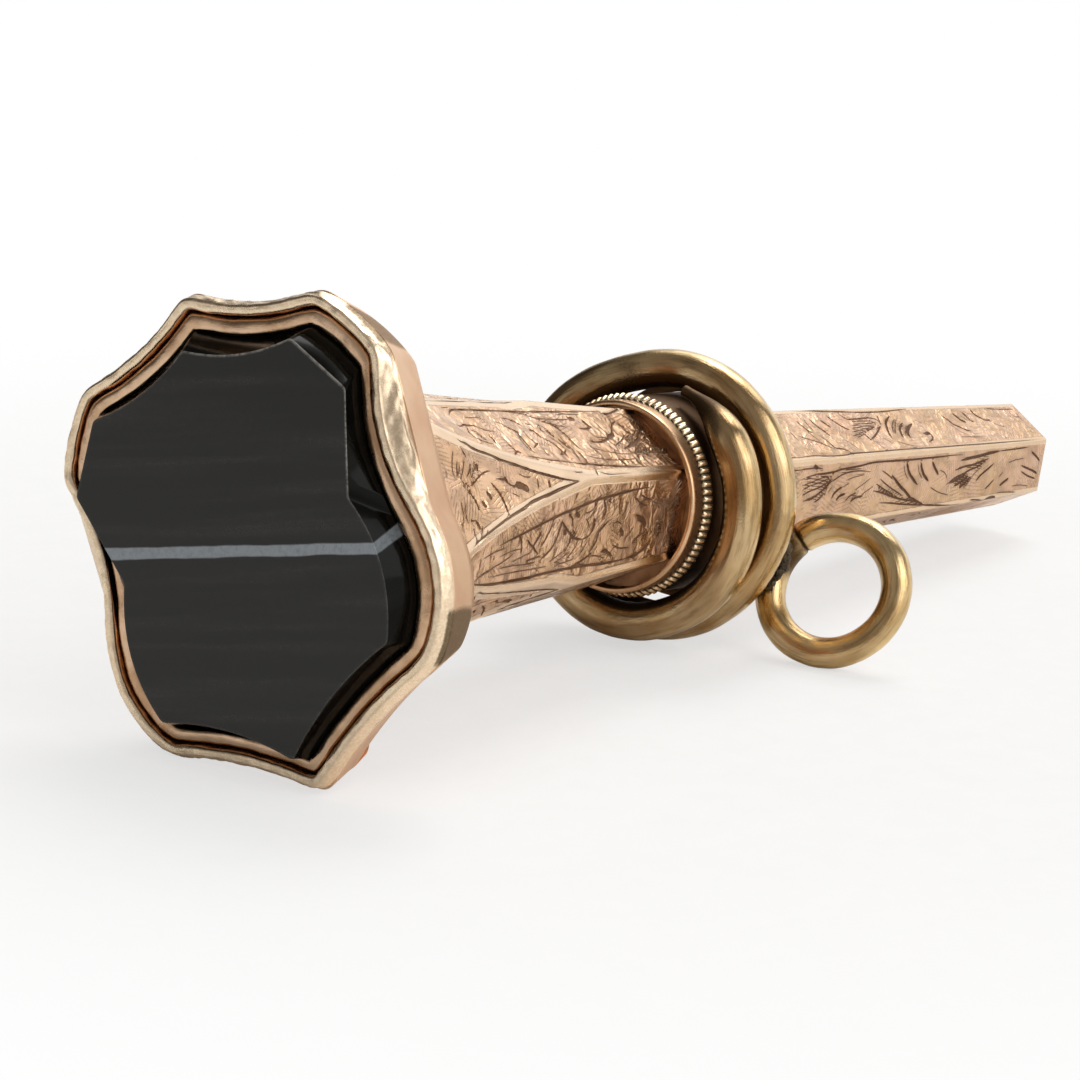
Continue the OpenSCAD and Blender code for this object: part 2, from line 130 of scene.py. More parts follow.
def vertexArray(piece):
    flat = np.empty(len(piece.data.vertices) * 3)
    piece.data.vertices.foreach_get("co", flat)
    return flat.reshape(-1, 3)


def addNode(tree, kind, inputs, **settings):
    # an input that comes from another node is linked, any other is set
    node = tree.nodes.new("ShaderNode" + kind)
    for name, value in settings.items():
        setattr(node, name, value)
    for key, value in inputs.items():
        if isinstance(value, bpy.types.NodeSocket):
            tree.links.new(value, node.inputs[key])
        else:
            node.inputs[key].default_value = value
    return node


def startFinish(name):
    # places on the key are read in millimetres and in the key's own directions
    finish = bpy.data.materials.new(name)
    finish.use_nodes = True
    tree = finish.node_tree
    coords = addNode(tree, "TexCoord", {})
    turn = addNode(tree, "Mapping", {"Vector": coords.outputs["Object"], "Scale": (1000, 1000, 1000),
                                     "Rotation": layTurn.inverted().to_euler("XYZ")})
    return finish, tree, tree.nodes["Principled BSDF"], turn.outputs["Vector"]


def addNoise(tree, where, scale, detail, stretch=None, rough=0.55):
    if stretch:
        where = addNode(tree, "Mapping", {"Scale": stretch, "Vector": where}).outputs["Vector"]
    cloud = addNode(tree, "TexNoise", {"Scale": scale, "Detail": detail, "Roughness": rough, "Vector": where})
    return cloud.outputs["Fac"]


def addRange(tree, value, fromLow, fromHigh, toLow=0, toHigh=1):
    spread = addNode(tree, "MapRange", {"Value": value, "From Min": fromLow, "From Max": fromHigh,
                                        "To Min": toLow, "To Max": toHigh}, interpolation_type="SMOOTHSTEP")
    return spread.outputs["Result"]


def addMath(tree, kind, first, second):
    return addNode(tree, "Math", {0: first, 1: second}, operation=kind).outputs["Value"]


def plus(tree, first, second):
    return addMath(tree, "ADD", first, second)


def minus(tree, first, second):
    return addMath(tree, "SUBTRACT", first, second)


def times(tree, first, second):
    return addMath(tree, "MULTIPLY", first, second)


def addLength(tree, vector):
    return addNode(tree, "VectorMath", {0: vector}, operation="LENGTH").outputs["Value"]


def splitVector(tree, vector):
    return addNode(tree, "SeparateXYZ", {0: vector}).outputs


def addMix(tree, amount, first, second):
    first, second = ((*colour, 1) if isinstance(colour, tuple) else colour for colour in (first, second))
    return addNode(tree, "Mix", {"Factor": amount, 6: first, 7: second}, data_type="RGBA").outputs[2]


def addBumps(tree, shader, heights):
    # each height is (value, depth in metres, strength)
    below = {}
    for value, depth, strength in heights:
        bump = addNode(tree, "Bump", {"Height": value, "Distance": depth, "Strength": strength, **below})
        below = {"Normal": bump.outputs["Normal"]}
    tree.links.new(bump.outputs["Normal"], shader.inputs["Normal"])


def readAttribute(tree, name, kind="Fac"):
    return addNode(tree, "Attribute", {}, attribute_name=name).outputs[kind]


def goldFinish(name, tone):
    finish, tree, shader, where = startFinish(name)
    shader.inputs["Metallic"].default_value = 1
    # the dark colour for specks, dirt and painted shade
    grimeAndShade = tone["grimeAndShade"]
    clouds = addNoise(tree, where, tone["cloudScale"], 3)
    grain = addNoise(tree, where, 14, 5, rough=0.7)
    scratches = addNoise(tree, where, 1.0, 3, stretch=tone["scratchStretch"], rough=0.8)
    colour = addMix(tree, addRange(tree, clouds, 0.35, 0.68), tone["bright"], tone["deep"])
    colour = addMix(tree, addRange(tree, grain, 0.58, 0.8, 0, tone["speck"]), colour, grimeAndShade)
    colour = addMix(tree, addRange(tree, scratches, 0.6, 0.75, 0, 0.25), colour, tone["deep"])
    rough = addRange(tree, clouds, 0.3, 0.75, tone["roughLow"], tone["roughHigh"])
    heights = [(scratches, 0.00001, tone["scratch"]), (grain, 0.000008, tone["pit"])]
    if "plain" in tone:
        # the matt sides, away from the polished rim
        rough = plus(tree, rough, times(tree, readAttribute(tree, "plain"), tone["plain"]))
    if "wearAndHighlight" in tone:
        # where wear has kept the raised edge bright, lightened further as a painted highlight along the rim
        wearAndHighlight = times(tree, readAttribute(tree, "wearAndHighlight"), addRange(tree, grain, 0.4, 0.55, 1, 0.6))
        colour = addMix(tree, wearAndHighlight, colour, tone["wearAndHighlight"])
        rough = plus(tree, rough, times(tree, wearAndHighlight, 0.08))
    if "streak" in tone:
        # drawing marks along the wire, and tarnish with painted shade on its seal-facing side
        strand = readAttribute(tree, "strand", "Vector")
        streaks = addNoise(tree, strand, 2.4, 5, rough=0.65)
        colour = addMix(tree, addRange(tree, streaks, 0.47, 0.66, 0, tone["streak"]), colour, grimeAndShade)
        blotch = addRange(tree, addNoise(tree, strand, 0.9, 3), 0.3, 0.62, 0.45, 1)
        tarnishAndShade = times(tree, readAttribute(tree, "tarnishAndShade"), blotch)
        colour = addMix(tree, tarnishAndShade, colour, tone["tarnishAndShade"])
        rough = plus(tree, rough, times(tree, tarnishAndShade, 0.12))
        heights.append((streaks, 0.00003, 0.5))
    if "dirtAndShade" in tone:
        # each piece's mask darkens the colour: dirt, and painted shade in hollows and between parts
        uneven = plus(tree, readAttribute(tree, "dirtAndShade"), times(tree, grain, 0.5))
        dirtAndShadeShare = times(tree, addRange(tree, uneven, 0.45, 1.15), tone["dirtAndShade"])
        colour = addMix(tree, dirtAndShadeShare, colour, grimeAndShade)
        rough = plus(tree, rough, times(tree, dirtAndShadeShare, 0.3))
    if "cut" in tone:
        # fine hatching of the engraver's background, in patches that each run their own way
        place = readAttribute(tree, "place", "Vector")
        patches = addNode(tree, "TexVoronoi", {"Scale": 1.25, "Vector": place})
        way = times(tree, splitVector(tree, patches.outputs["Color"])[0], 6.3)
        spin = addNode(tree, "VectorRotate", {"Vector": place, "Angle": way}, rotation_type="Z_AXIS")
        lines = addNode(tree, "TexWave", {"Scale": tone["hatch"], "Distortion": 1.2, "Detail Scale": 0.7,
                                          "Vector": spin.outputs["Vector"]})
        cover = addRange(tree, addNoise(tree, place, 1.1, 3), 0.42, 0.56)
        hatch = times(tree, addRange(tree, lines.outputs["Fac"], 0.72, 0.95), cover)
        # the plain strip along each edge of a facet, its pale colour a painted highlight
        strip = addRange(tree, readAttribute(tree, "ridge"), tone["stripEdge"], tone["stripEdge"] + 0.05, 1, 0)
        inside = minus(tree, 1, strip)
        hatch = times(tree, hatch, inside)
        # the cuts: offset from the nearest cut's middle line, and that cut's half width
        offX, offY, halfWidth = splitVector(tree, readAttribute(tree, "cutPlace", "Vector"))
        flat = addNode(tree, "CombineXYZ", {0: offX, 1: offY})
        sharp = minus(tree, addLength(tree, flat.outputs[0]), halfWidth)
        near = addRange(tree, readAttribute(tree, "cut"), 0.05, 0.025)
        inCut = times(tree, addRange(tree, sharp, 0.012, -0.01), near)
        around = times(tree, addRange(tree, readAttribute(tree, "cut"), 0.12, 0), 0.5)
        patch = addRange(tree, addNoise(tree, place, tone["patchScale"], 3), 0.42, 0.58)
        field = addMix(tree, strip, addMix(tree, patch, tone["field"], tone["patch"]), tone["strip"])
        colour = addMix(tree, 0.6, colour, field)
        colour = addMix(tree, times(tree, hatch, tone["hatchDark"]), colour, grimeAndShade)
        smudge = times(tree, times(tree, around, addRange(tree, clouds, 0.35, 0.6)), tone["smudge"])
        colour = addMix(tree, smudge, colour, grimeAndShade)
        # the cuts are darkened: dirt and painted shade in them
        colour = addMix(tree, times(tree, inCut, tone["cut"]), colour, grimeAndShade)
        if "foot" in tone:
            # shade and grime where the stem runs into the case
            foot = plus(tree, splitVector(tree, place)[0], times(tree, grain, -0.5))
            colour = addMix(tree, addRange(tree, foot, 0.95, 0.25, 0, tone["foot"]), colour, grimeAndShade)
        rough = plus(tree, rough, times(tree, inCut, 0.2))
        rough = minus(tree, rough, times(tree, strip, 0.1))
        # the leaves stand up softly between the cuts, and their borders are darkened as painted shade
        drift = times(tree, addNoise(tree, place, 1.6, 2), 1.2)
        bent = addNode(tree, "VectorMath", {0: place, 1: drift})
        leaves = addNode(tree, "TexVoronoi", {"Scale": tone["leaf"], "Vector": bent.outputs["Vector"]})
        lift = times(tree, leaves.outputs["Distance"], inside)
        colour = addMix(tree, addRange(tree, lift, 0.42, 0.8, 0, tone["leafShade"]), colour, grimeAndShade)
        heights += [(lift, 0.00010, tone["leafLift"]), (times(tree, hatch, -1), 0.00003, 0.7),
                    (times(tree, inCut, -1), 0.00006, 0.9)]
    tree.links.new(colour, shader.inputs["Base Color"])
    tree.links.new(rough, shader.inputs["Roughness"])
    addBumps(tree, shader, heights)
    return finish


caseGold = goldFinish("caseGold", {
    "bright": (0.82, 0.55, 0.35), "deep": (0.72, 0.45, 0.28), "grimeAndShade": (0.13, 0.085, 0.04),
    "cloudScale": 0.55, "scratchStretch": (22, 22, 1.6), "speck": 0.15, "roughLow": 0.2, "roughHigh": 0.3,
    "scratch": 0.4, "pit": 0.3, "dirtAndShade": 0.9, "plain": 0.14, "wearAndHighlight": (1.0, 0.84, 0.62)})
stripGold = goldFinish("stripGold", {
    "bright": (0.80, 0.56, 0.38), "deep": (0.58, 0.36, 0.21), "grimeAndShade": (0.10, 0.04, 0.025),
    "cloudScale": 0.7, "scratchStretch": (12, 12, 5), "speck": 0.3, "roughLow": 0.18, "roughHigh": 0.32,
    "scratch": 0.5, "pit": 0.35, "dirtAndShade": 0.9})
stemGold = goldFinish("stemGold", {
    "bright": (0.92, 0.64, 0.41), "deep": (0.74, 0.46, 0.27), "grimeAndShade": (0.13, 0.058, 0.026),
    "cloudScale": 0.7, "scratchStretch": (16, 16, 2), "speck": 0.3, "roughLow": 0.2, "roughHigh": 0.32,
    "scratch": 0.4, "pit": 0.5, "cut": 0.9, "field": (0.78, 0.49, 0.29), "patch": (0.88, 0.57, 0.39),
    "patchScale": 0.7, "strip": (1.0, 0.80, 0.60), "stripEdge": 0.2, "hatch": 2.6, "hatchDark": 0.3,
    "smudge": 0.32, "leaf": 1.7, "leafLift": 0.7, "leafShade": 0.3, "foot": 0.75})
rearGold = goldFinish("rearGold", {
    "bright": (0.82, 0.56, 0.35), "deep": (0.68, 0.43, 0.25), "grimeAndShade": (0.11, 0.045, 0.02),
    "cloudScale": 0.5, "scratchStretch": (16, 16, 2), "speck": 0.25, "roughLow": 0.24, "roughHigh": 0.36,
    "scratch": 0.4, "pit": 0.4, "cut": 0.95, "field": (0.69, 0.44, 0.25), "patch": (0.78, 0.49, 0.34),
    "patchScale": 0.4, "strip": (0.94, 0.72, 0.50), "stripEdge": 0.1, "hatch": 2.4, "hatchDark": 0.22,
    "smudge": 0.28, "leaf": 1.5, "leafLift": 0.7, "leafShade": 0.22})
wireGold = goldFinish("wireGold", {
    "bright": (0.86, 0.66, 0.37), "deep": (0.64, 0.44, 0.20), "grimeAndShade": (0.08, 0.045, 0.02),
    "cloudScale": 0.6, "scratchStretch": (9, 9, 9), "speck": 0.2, "roughLow": 0.08, "roughHigh": 0.16,
    "scratch": 0.3, "pit": 0.25, "dirtAndShade": 0.95, "streak": 0.4, "tarnishAndShade": (0.20, 0.08, 0.03)})
collarGold = goldFinish("collarGold", {
    "bright": (0.78, 0.51, 0.31), "deep": (0.58, 0.34, 0.18), "grimeAndShade": (0.05, 0.025, 0.012),
    "cloudScale": 0.8, "scratchStretch": (2, 2, 20), "speck": 0.3, "roughLow": 0.18, "roughHigh": 0.32,
    "scratch": 0.35, "pit": 0.35, "dirtAndShade": 0.9})
# a paler copy of the gold, its pale tone a painted highlight on the teeth
bandGold = goldFinish("bandGold", {
    "bright": (0.95, 0.78, 0.54), "deep": (0.82, 0.60, 0.38), "grimeAndShade": (0.035, 0.028, 0.014),
    "cloudScale": 0.8, "scratchStretch": (8, 8, 8), "speck": 0.25, "roughLow": 0.2, "roughHigh": 0.32,
    "scratch": 0.3, "pit": 0.3, "dirtAndShade": 0.95})
# a darker copy of the gold for the pieces inside the key: painted shade
innerGold = goldFinish("innerGold", {
    "bright": (0.55, 0.33, 0.19), "deep": (0.32, 0.18, 0.10), "grimeAndShade": (0.04, 0.02, 0.01),
    "cloudScale": 0.8, "scratchStretch": (10, 10, 4), "speck": 0.6, "roughLow": 0.35, "roughHigh": 0.55,
    "scratch": 0.4, "pit": 0.5})


def stoneFinish():
    look = {"black": (0.003, 0.003, 0.0026), "smoke": (0.018, 0.0172, 0.016), "band": (0.30, 0.34, 0.38),
            "slope": 0.27, "offset": 0.37, "lean": -0.58, "half": 0.155, "wearAndHighlight": (0.30, 0.29, 0.27),
            "shine": 0.42, "dull": 0.09, "face": 0.6}
    finish, tree, shader, where = startFinish("blackAgate")
    x, y, z = splitVector(tree, where)
    ripple = times(tree, minus(tree, addNoise(tree, where, 0.55, 2), 0.5), 0.16)
    across = minus(tree, y, times(tree, x, look["slope"]))
    across = plus(tree, across, times(tree, minus(tree, z, station["crest"] - look["face"]), -look["lean"]))
    level = plus(tree, across, ripple)
    off = addMath(tree, "ABSOLUTE", minus(tree, level, look["offset"]), 0)
    band = addRange(tree, off, look["half"] + 0.03, look["half"] - 0.03)
    fleck = addNoise(tree, where, 7, 4, rough=0.7)
    band = times(tree, band, addRange(tree, fleck, 0.25, 0.6, 0.75, 1))
    # fainter layers of the agate, parallel to the white one
    layers = addNode(tree, "CombineXYZ", {0: times(tree, x, 0.05), 1: level})
    faint = addNoise(tree, layers.outputs[0], 1.6, 3, rough=0.6)
    faint = plus(tree, faint, times(tree, minus(tree, fleck, 0.5), 0.35))
    colour = addMix(tree, addRange(tree, faint, 0.42, 0.75), look["black"], look["smoke"])
    colour = addMix(tree, band, colour, look["band"])
    # the ground bevels stay dull; their colour is painted black as shade, dimming the white band, and their worn
    # edge gets a painted highlight
    bevel = readAttribute(tree, "bevel")
    shade = minus(tree, 0.9, times(tree, band, 0.5))
    colour = addMix(tree, times(tree, bevel, shade), colour, look["black"])
    edge = times(tree, readAttribute(tree, "edge"), addRange(tree, fleck, 0.35, 0.6, 0.3, 1))
    colour = addMix(tree, edge, colour, look["wearAndHighlight"])
    gloss = addRange(tree, bevel, 0, 1, look["shine"], look["dull"])
    tree.links.new(gloss, shader.inputs["Specular IOR Level"])
    tree.links.new(colour, shader.inputs["Base Color"])
    tree.links.new(addRange(tree, fleck, 0.3, 0.7, 0.07, 0.13), shader.inputs["Roughness"])
    shader.inputs["IOR"].default_value = 1.5
    addBumps(tree, shader, [(addNoise(tree, where, 5, 3), 0.000002, 0.2)])
    return finish


def plainFinish(name, look):
    finish, tree, shader, where = startFinish(name)
    shader.inputs["Metallic"].default_value = look["metal"]
    grain = addNoise(tree, where, look["scale"], 5, rough=0.7)
    colour = addMix(tree, addRange(tree, grain, 0.35, 0.65), look["first"], look["second"])
    rough = addRange(tree, grain, 0.3, 0.7, look["roughLow"], look["roughHigh"])
    tree.links.new(colour, shader.inputs["Base Color"])
    tree.links.new(rough, shader.inputs["Roughness"])
    addBumps(tree, shader, [(grain, look["depth"], look["bump"])])
    return finish


blackAgate = stoneFinish()
solderCrust = plainFinish("solderCrust", {
    "metal": 0.7, "scale": 4, "first": (0.018, 0.016, 0.011), "second": (0.14, 0.10, 0.055),
    "roughLow": 0.35, "roughHigh": 0.65, "depth": 0.00006, "bump": 0.9})
shellacBed = plainFinish("shellacBed", {
    "metal": 0, "scale": 3, "first": (0.10, 0.035, 0.015), "second": (0.20, 0.08, 0.03),
    "roughLow": 0.3, "roughHigh": 0.5, "depth": 0.00003, "bump": 0.5})
dullSteel = plainFinish("dullSteel", {
    "metal": 1, "scale": 6, "first": (0.34, 0.33, 0.31), "second": (0.16, 0.12, 0.09),
    "roughLow": 0.3, "roughHigh": 0.5, "depth": 0.00001, "bump": 0.5})
print("finishes ready")

# half outlines of the seal's case and of the stone's flat face, seen from the seal's end
sealShape = {"top": (0, -6.7), "corner": (4.2, -5.4), "shoulder": (5.8, -3.2), "waist": (5.65, 0.9),
             "lobe": (4.55, 4.85), "foot": (0, 7.0), "topScoop": 0.3, "cornerSwell": 0.15,
             "sideScoop": 0.42, "lobeSwell": 0.62, "footScoop": 0.24, "fine": 6}
faceShape = {"top": (0, -5.1), "corner": (3.55, -4.3), "shoulder": (4.82, -2.55), "waist": (3.97, 0.1),
             "lobe": (3.95, 3.95), "foot": (0, 6.0), "topScoop": 0.26, "cornerSwell": 0.0,
             "sideScoop": 0.0, "lobeSwell": 0.45, "footScoop": 0.27, "fine": 6}


def shallowCurve(start, end, swell, steps):
    start, end = np.array(start, float), np.array(end, float)
    d = end - start
    side = np.array([d[1], -d[0]]) / np.linalg.norm(d)
    t = np.arange(steps)[:, None] / steps
    return start + d * t + side * swell * 4 * t * (1 - t)


def sealOutline(s, fill=0, softness=1.0):
    # fill is the share by which the scooped sides are filled out, softness rounds the corners
    k = s["fine"]
    half = np.concatenate([
        shallowCurve(s["top"], s["corner"], -s["topScoop"], 8 * k),
        shallowCurve(s["corner"], s["shoulder"], s["cornerSwell"], 5 * k),
        shallowCurve(s["shoulder"], s["waist"], -s["sideScoop"] * (1 - fill), 8 * k),
        shallowCurve(s["waist"], s["lobe"], s["lobeSwell"], 9 * k),
        shallowCurve(s["lobe"], s["foot"], -s["footScoop"], 8 * k),
        np.array([s["foot"]], float)])
    line = np.concatenate([half, half[-2:0:-1] * [-1, 1]])
    for i in range(int(k * k * softness)):
        line = (np.roll(line, 1, 0) + 2 * line + np.roll(line, -1, 0)) / 4
    return line


faceLine = sealOutline(faceShape, 0, 0.06)


def sealRow(inset, depth, fill=0, follow=0.0, softness=1.0, shrink=1.0):
    # follow is the share by which a row leaves the case's outline for the stone's face
    line = sealOutline(sealShape, fill, softness)
    d = np.roll(line, -1, 0) - np.roll(line, 1, 0)
    out = np.stack([d[:, 1], -d[:, 0]], 1) / np.linalg.norm(d, axis=1)[:, None]
    p = (line - out * inset) * (1 - follow) + faceLine * follow
    return np.concatenate([p * shrink, np.full((len(p), 1), station["crest"] + depth)], 1)


def wallFill(depth):
    # the scalloped rim slopes out to the flat sides below it
    return max(0.0, min(1.0, (depth - 0.05) / 0.42))


def roundedPath(points, steps):
    # smooth curve through the points
    pts = [points[0]] + list(points) + [points[-1]]
    out = []
    for i in range(1, len(pts) - 2):
        a, b, c, d = (np.array(p, float) for p in pts[i - 1:i + 3])
        for j in range(steps):
            t = j / steps
            out.append(0.5 * ((2 * b) + (c - a) * t + (2 * a - 5 * b + 4 * c - d) * t * t
                              + (3 * b - a - 3 * c + d) * t ** 3))
    out.append(np.array(points[-1], float))
    return out


def sweepRows(rows, closed):
    # a circle of edges is extruded row by row, each row laid on the outline
    count = len(rows[0])
    clearSelection()
    bpy.ops.mesh.primitive_circle_add(vertices=count, radius=1)
    piece = bpy.context.object
    piece.data.vertices.foreach_set("co", rows[0].ravel())
    bpy.ops.object.mode_set(mode="EDIT")
    bpy.ops.mesh.select_all(action="SELECT")
    for row in rows[1:] + ([rows[0]] if closed else []):
        bpy.ops.mesh.extrude_edges_move()
        mesh = bmesh.from_edit_mesh(piece.data)
        mesh.verts.ensure_lookup_table()
        for v, p in zip(mesh.verts[-count:], row):
            v.co = p
        bmesh.update_edit_mesh(piece.data)
    if not closed:
        bpy.ops.mesh.edge_face_add()
    bpy.ops.object.mode_set(mode="OBJECT")
    tidyMesh(piece)
    return piece


def insetOf(points):
    # how far inside the seal's outline each point lies
    line = sealOutline(sealShape)
    gap = np.empty(len(points))
    for i in range(0, len(points), 2000):
        d = points[i:i + 2000, None, :2] - line[None]
        gap[i:i + 2000] = np.sqrt((d ** 2).sum(2)).min(1)
    return gap


def makeCase():
    # sections are (inset from the outline, depth below the crest), outside up and over, then inside down
    size = {"outer": [(1.2, 2.4), (0.95, 2.39), (0.76, 2.32), (0.62, 2.12), (0.47, 1.85), (0.348, 1.5),
                      (0.209, 1.1), (0.104, 0.8), (0.0, 0.5), (0, 0.44), (0, 0.38), (0, 0.32), (0.03, 0.2),
                      (0.08, 0.05), (0.13, 0.005), (0.18, 0), (0.25, 0), (0.31, 0.015), (0.36, 0.07),
                      (0.385, 0.16), (0.40, 0.3), (0.42, 0.5), (0.42, 0.6)],
            "inner": [(0.42, 1.38), (0.85, 1.65), (0.85, 1.84), (1.2, 2.04)],
            "wall": 0.004, "rim": 0.024, "rimFine": 0.02, "slope": 0.03}
    rows = [sealRow(p[0], p[1], wallFill(p[1]), 0, 0.28 if p[1] > 0.45 else 0.6)
            for p in roundedPath(size["outer"], 4)]
    rows += [sealRow(p[0], p[1], wallFill(p[1]) if p[1] > 1.5 else 0) for p in size["inner"]]
    case = sweepRows(rows, True)
    points = vertexArray(case)
    depth = points[:, 2] - station["crest"]
    inside = insetOf(points)
    rim = fall(depth, 0.5, 0.2)
    slope = rise(depth, 0.06, 0.1) * fall(depth, 0.46, 0.1) * (inside < 0.3)
    handWork(case, size["wall"], 1.6, 1, 1 - rim)
    handWork(case, size["rim"], 1.1, 2, rim)
    handWork(case, size["rimFine"], 0.3, 8, rim)
    handWork(case, size["slope"], 0.22, 13, slope)
    side, drop = np.abs(points[:, 0]), points[:, 1]
    facing = np.array([n.vector[:] for n in case.data.vertex_normals])
    inward = (facing[:, 0] * points[:, 0] + facing[:, 1] * points[:, 1]) < 0
    # darker down the inside of the rim and over the back: dirt and painted shade
    dirtAndShade = rise(depth, 0.18, 0.2) * (inside > 0.2) * inward * (depth < 1.7)
    dirtAndShade = np.maximum(dirtAndShade, rise(depth, 2.2, 0.25) * 0.5)
    # painted dark reflections on the cut corners and under the lobes, with a fairly sharp edge
    onWall = rise(depth, 0.16, 0.12) * (inside < 1.3) * ~inward
    paintedDarkSpots = [{"side": 5.2, "drop": -4.1, "wide": 0.95, "high": 0.8, "dark": 0.72},
               {"side": 5.1, "drop": 4.25, "wide": 0.85, "high": 0.8, "dark": 0.85}]
    for t in paintedDarkSpots:
        spot = np.clip(4 - np.hypot((side - t["side"]) / t["wide"], (drop - t["drop"]) / t["high"]) * 3.6, 0, 1)
        dirtAndShade = np.maximum(dirtAndShade, onWall * (spot * t["dark"]))
    setAttribute(case, "dirtAndShade", np.clip(dirtAndShade, 0, 1))
    # the rim's top: wear, with a painted highlight
    setAttribute(case, "wearAndHighlight", fall(depth, 0.47, 0.08) * (inside < 0.34))
    setAttribute(case, "plain", rise(depth, 0.42, 0.08) * ~inward)
    layPiece(case, "sealCase", "key", ["seal_collet"], caseGold, 50)


def makeStrip():
    # the section is (inset, depth, share of the way to the stone's outline)
    size = {"section": [(0.43, 1.37, 0), (0.43, 0.4, 0), (0.436, 0.26, 0), (0.45, 0.17, 0.01),
                        (0.48, 0.115, 0.02), (0.52, 0.085, 0.04), (0.58, 0.07, 0.08), (0.64, 0.07, 0.13),
                        (0.70, 0.08, 0.19), (0.738, 0.12, 0.23), (0.755, 0.2, 0.25), (0.76, 1.37, 0.25)],
            "wobble": 0.03, "fineWobble": 0.012}
    strip = sweepRows([sealRow(inset, depth, 0, follow, 0.7) for inset, depth, follow in size["section"]], True)
    handWork(strip, size["wobble"], 0.9, 3)
    handWork(strip, size["fineWobble"], 0.35, 4)
    points = vertexArray(strip)
    depth = points[:, 2] - station["crest"]
    # darker on the side by the groove and further down: dirt and painted shade
    dirtAndShade = fall(insetOf(points), 0.47, 0.04) * 0.8 + rise(depth, 0.22, 0.14)
    setAttribute(strip, "dirtAndShade", np.clip(dirtAndShade, 0, 1))
    layPiece(strip, "settingStrip", "key", ["setting_strip"], stripGold, 50)


def makeStone():
    # from the back up to the ground bevel, whose top edge is just broken; the last figure draws a row in
    size = {"section": [(0.86, 1.65, 0.25, 1), (0.78, 1.27, 0.25, 1), (0.78, 0.14, 0.25, 1),
                        (0.78, 0.1, 0.255, 1), (0.78, -0.575, 0.972, 1), (0.78, -0.592, 0.988, 1),
                        (0.78, -0.6, 1, 1), (0.78, -0.6, 1, 0.985)],
            "face": 0.6, "edgeWidth": 0.03, "litFrom": 2.2, "litOver": 1.8, "unlit": 0.12}
    rows = [sealRow(inset, depth, 0, follow, 0.7, shrink) for inset, depth, follow, shrink in size["section"]]
    stone = sweepRows(rows, False)
    bpy.ops.object.mode_set(mode="EDIT")
    bpy.ops.mesh.select_all(action="DESELECT")
    bpy.ops.mesh.select_mode(type="EDGE")
    mesh = bmesh.from_edit_mesh(stone.data)
    for e in mesh.edges:
        e.select = e.is_boundary
    bmesh.update_edit_mesh(stone.data)
    bpy.ops.mesh.edge_face_add()
    bpy.ops.mesh.select_mode(type="VERT")
    bpy.ops.mesh.select_all(action="SELECT")
    bpy.ops.mesh.normals_make_consistent(inside=False)
    bpy.ops.object.mode_set(mode="OBJECT")
    points = vertexArray(stone)
    height = station["crest"] - points[:, 2]
    setAttribute(stone, "bevel", fall(height, size["face"], 0.02))
    away = np.array([np.hypot(*(faceLine - p[:2]).T).min() for p in points])
    # the worn edge gets a painted highlight, on the side towards the light only
    toLight = points[:, 0] * 0.75 - points[:, 1] * 0.66
    lit = np.clip((toLight - size["litFrom"]) / size["litOver"], size["unlit"], 1)
    setAttribute(stone, "edge", ((height > 0.585) & (away < size["edgeWidth"])) * lit)
    layPiece(stone, "sealStone", "key", ["seal_stone"], blackAgate, 30)


print("seal")
makeCase()
makeStrip()
makeStone()

# Strokes lie on a facet: (half width, then along and across for each point). On the front stem
# lengths run from the seal, 0, to the collar, 15; on the rear stem from the collar, 0, to the
# mouth, 19.9. Heights run across the facet, 0 in its middle. All in millimetres.
cutDepth = {"front": 0.04, "rear": 0.025}


def leafCut(x, y, angle, length, bend, width):
    a = math.radians(angle)
    cut = [width]
    for t in (0, 0.25, 0.5, 0.75, 1):
        b = length * bend * 4 * t * (1 - t)
        cut += [x + math.cos(a) * length * t - math.sin(a) * b, y + math.sin(a) * length * t + math.cos(a) * b]
    return cut


def plume(x, y, angle, turn, count, length):
    # a fan of cuts round one root, as on an engraved leaf; each starts a little way out
    shrink, gap, bend, width = 0.95, 0.25, 0.2, 0.015
    cuts = []
    for i in range(count):
        a, reach = math.radians(angle + turn * i), length * shrink ** i
        cuts.append(leafCut(x + gap * reach * math.cos(a), y + gap * reach * math.sin(a), angle + turn * i,
                            reach * (1 - gap), bend, width))
    return cuts


def comb(x, y, dx, dy, count, angle, length):
    # a row of short cuts side by side
    return [leafCut(x + dx * i, y + dy * i, angle, length, 0.1, 0.013) for i in range(count)]


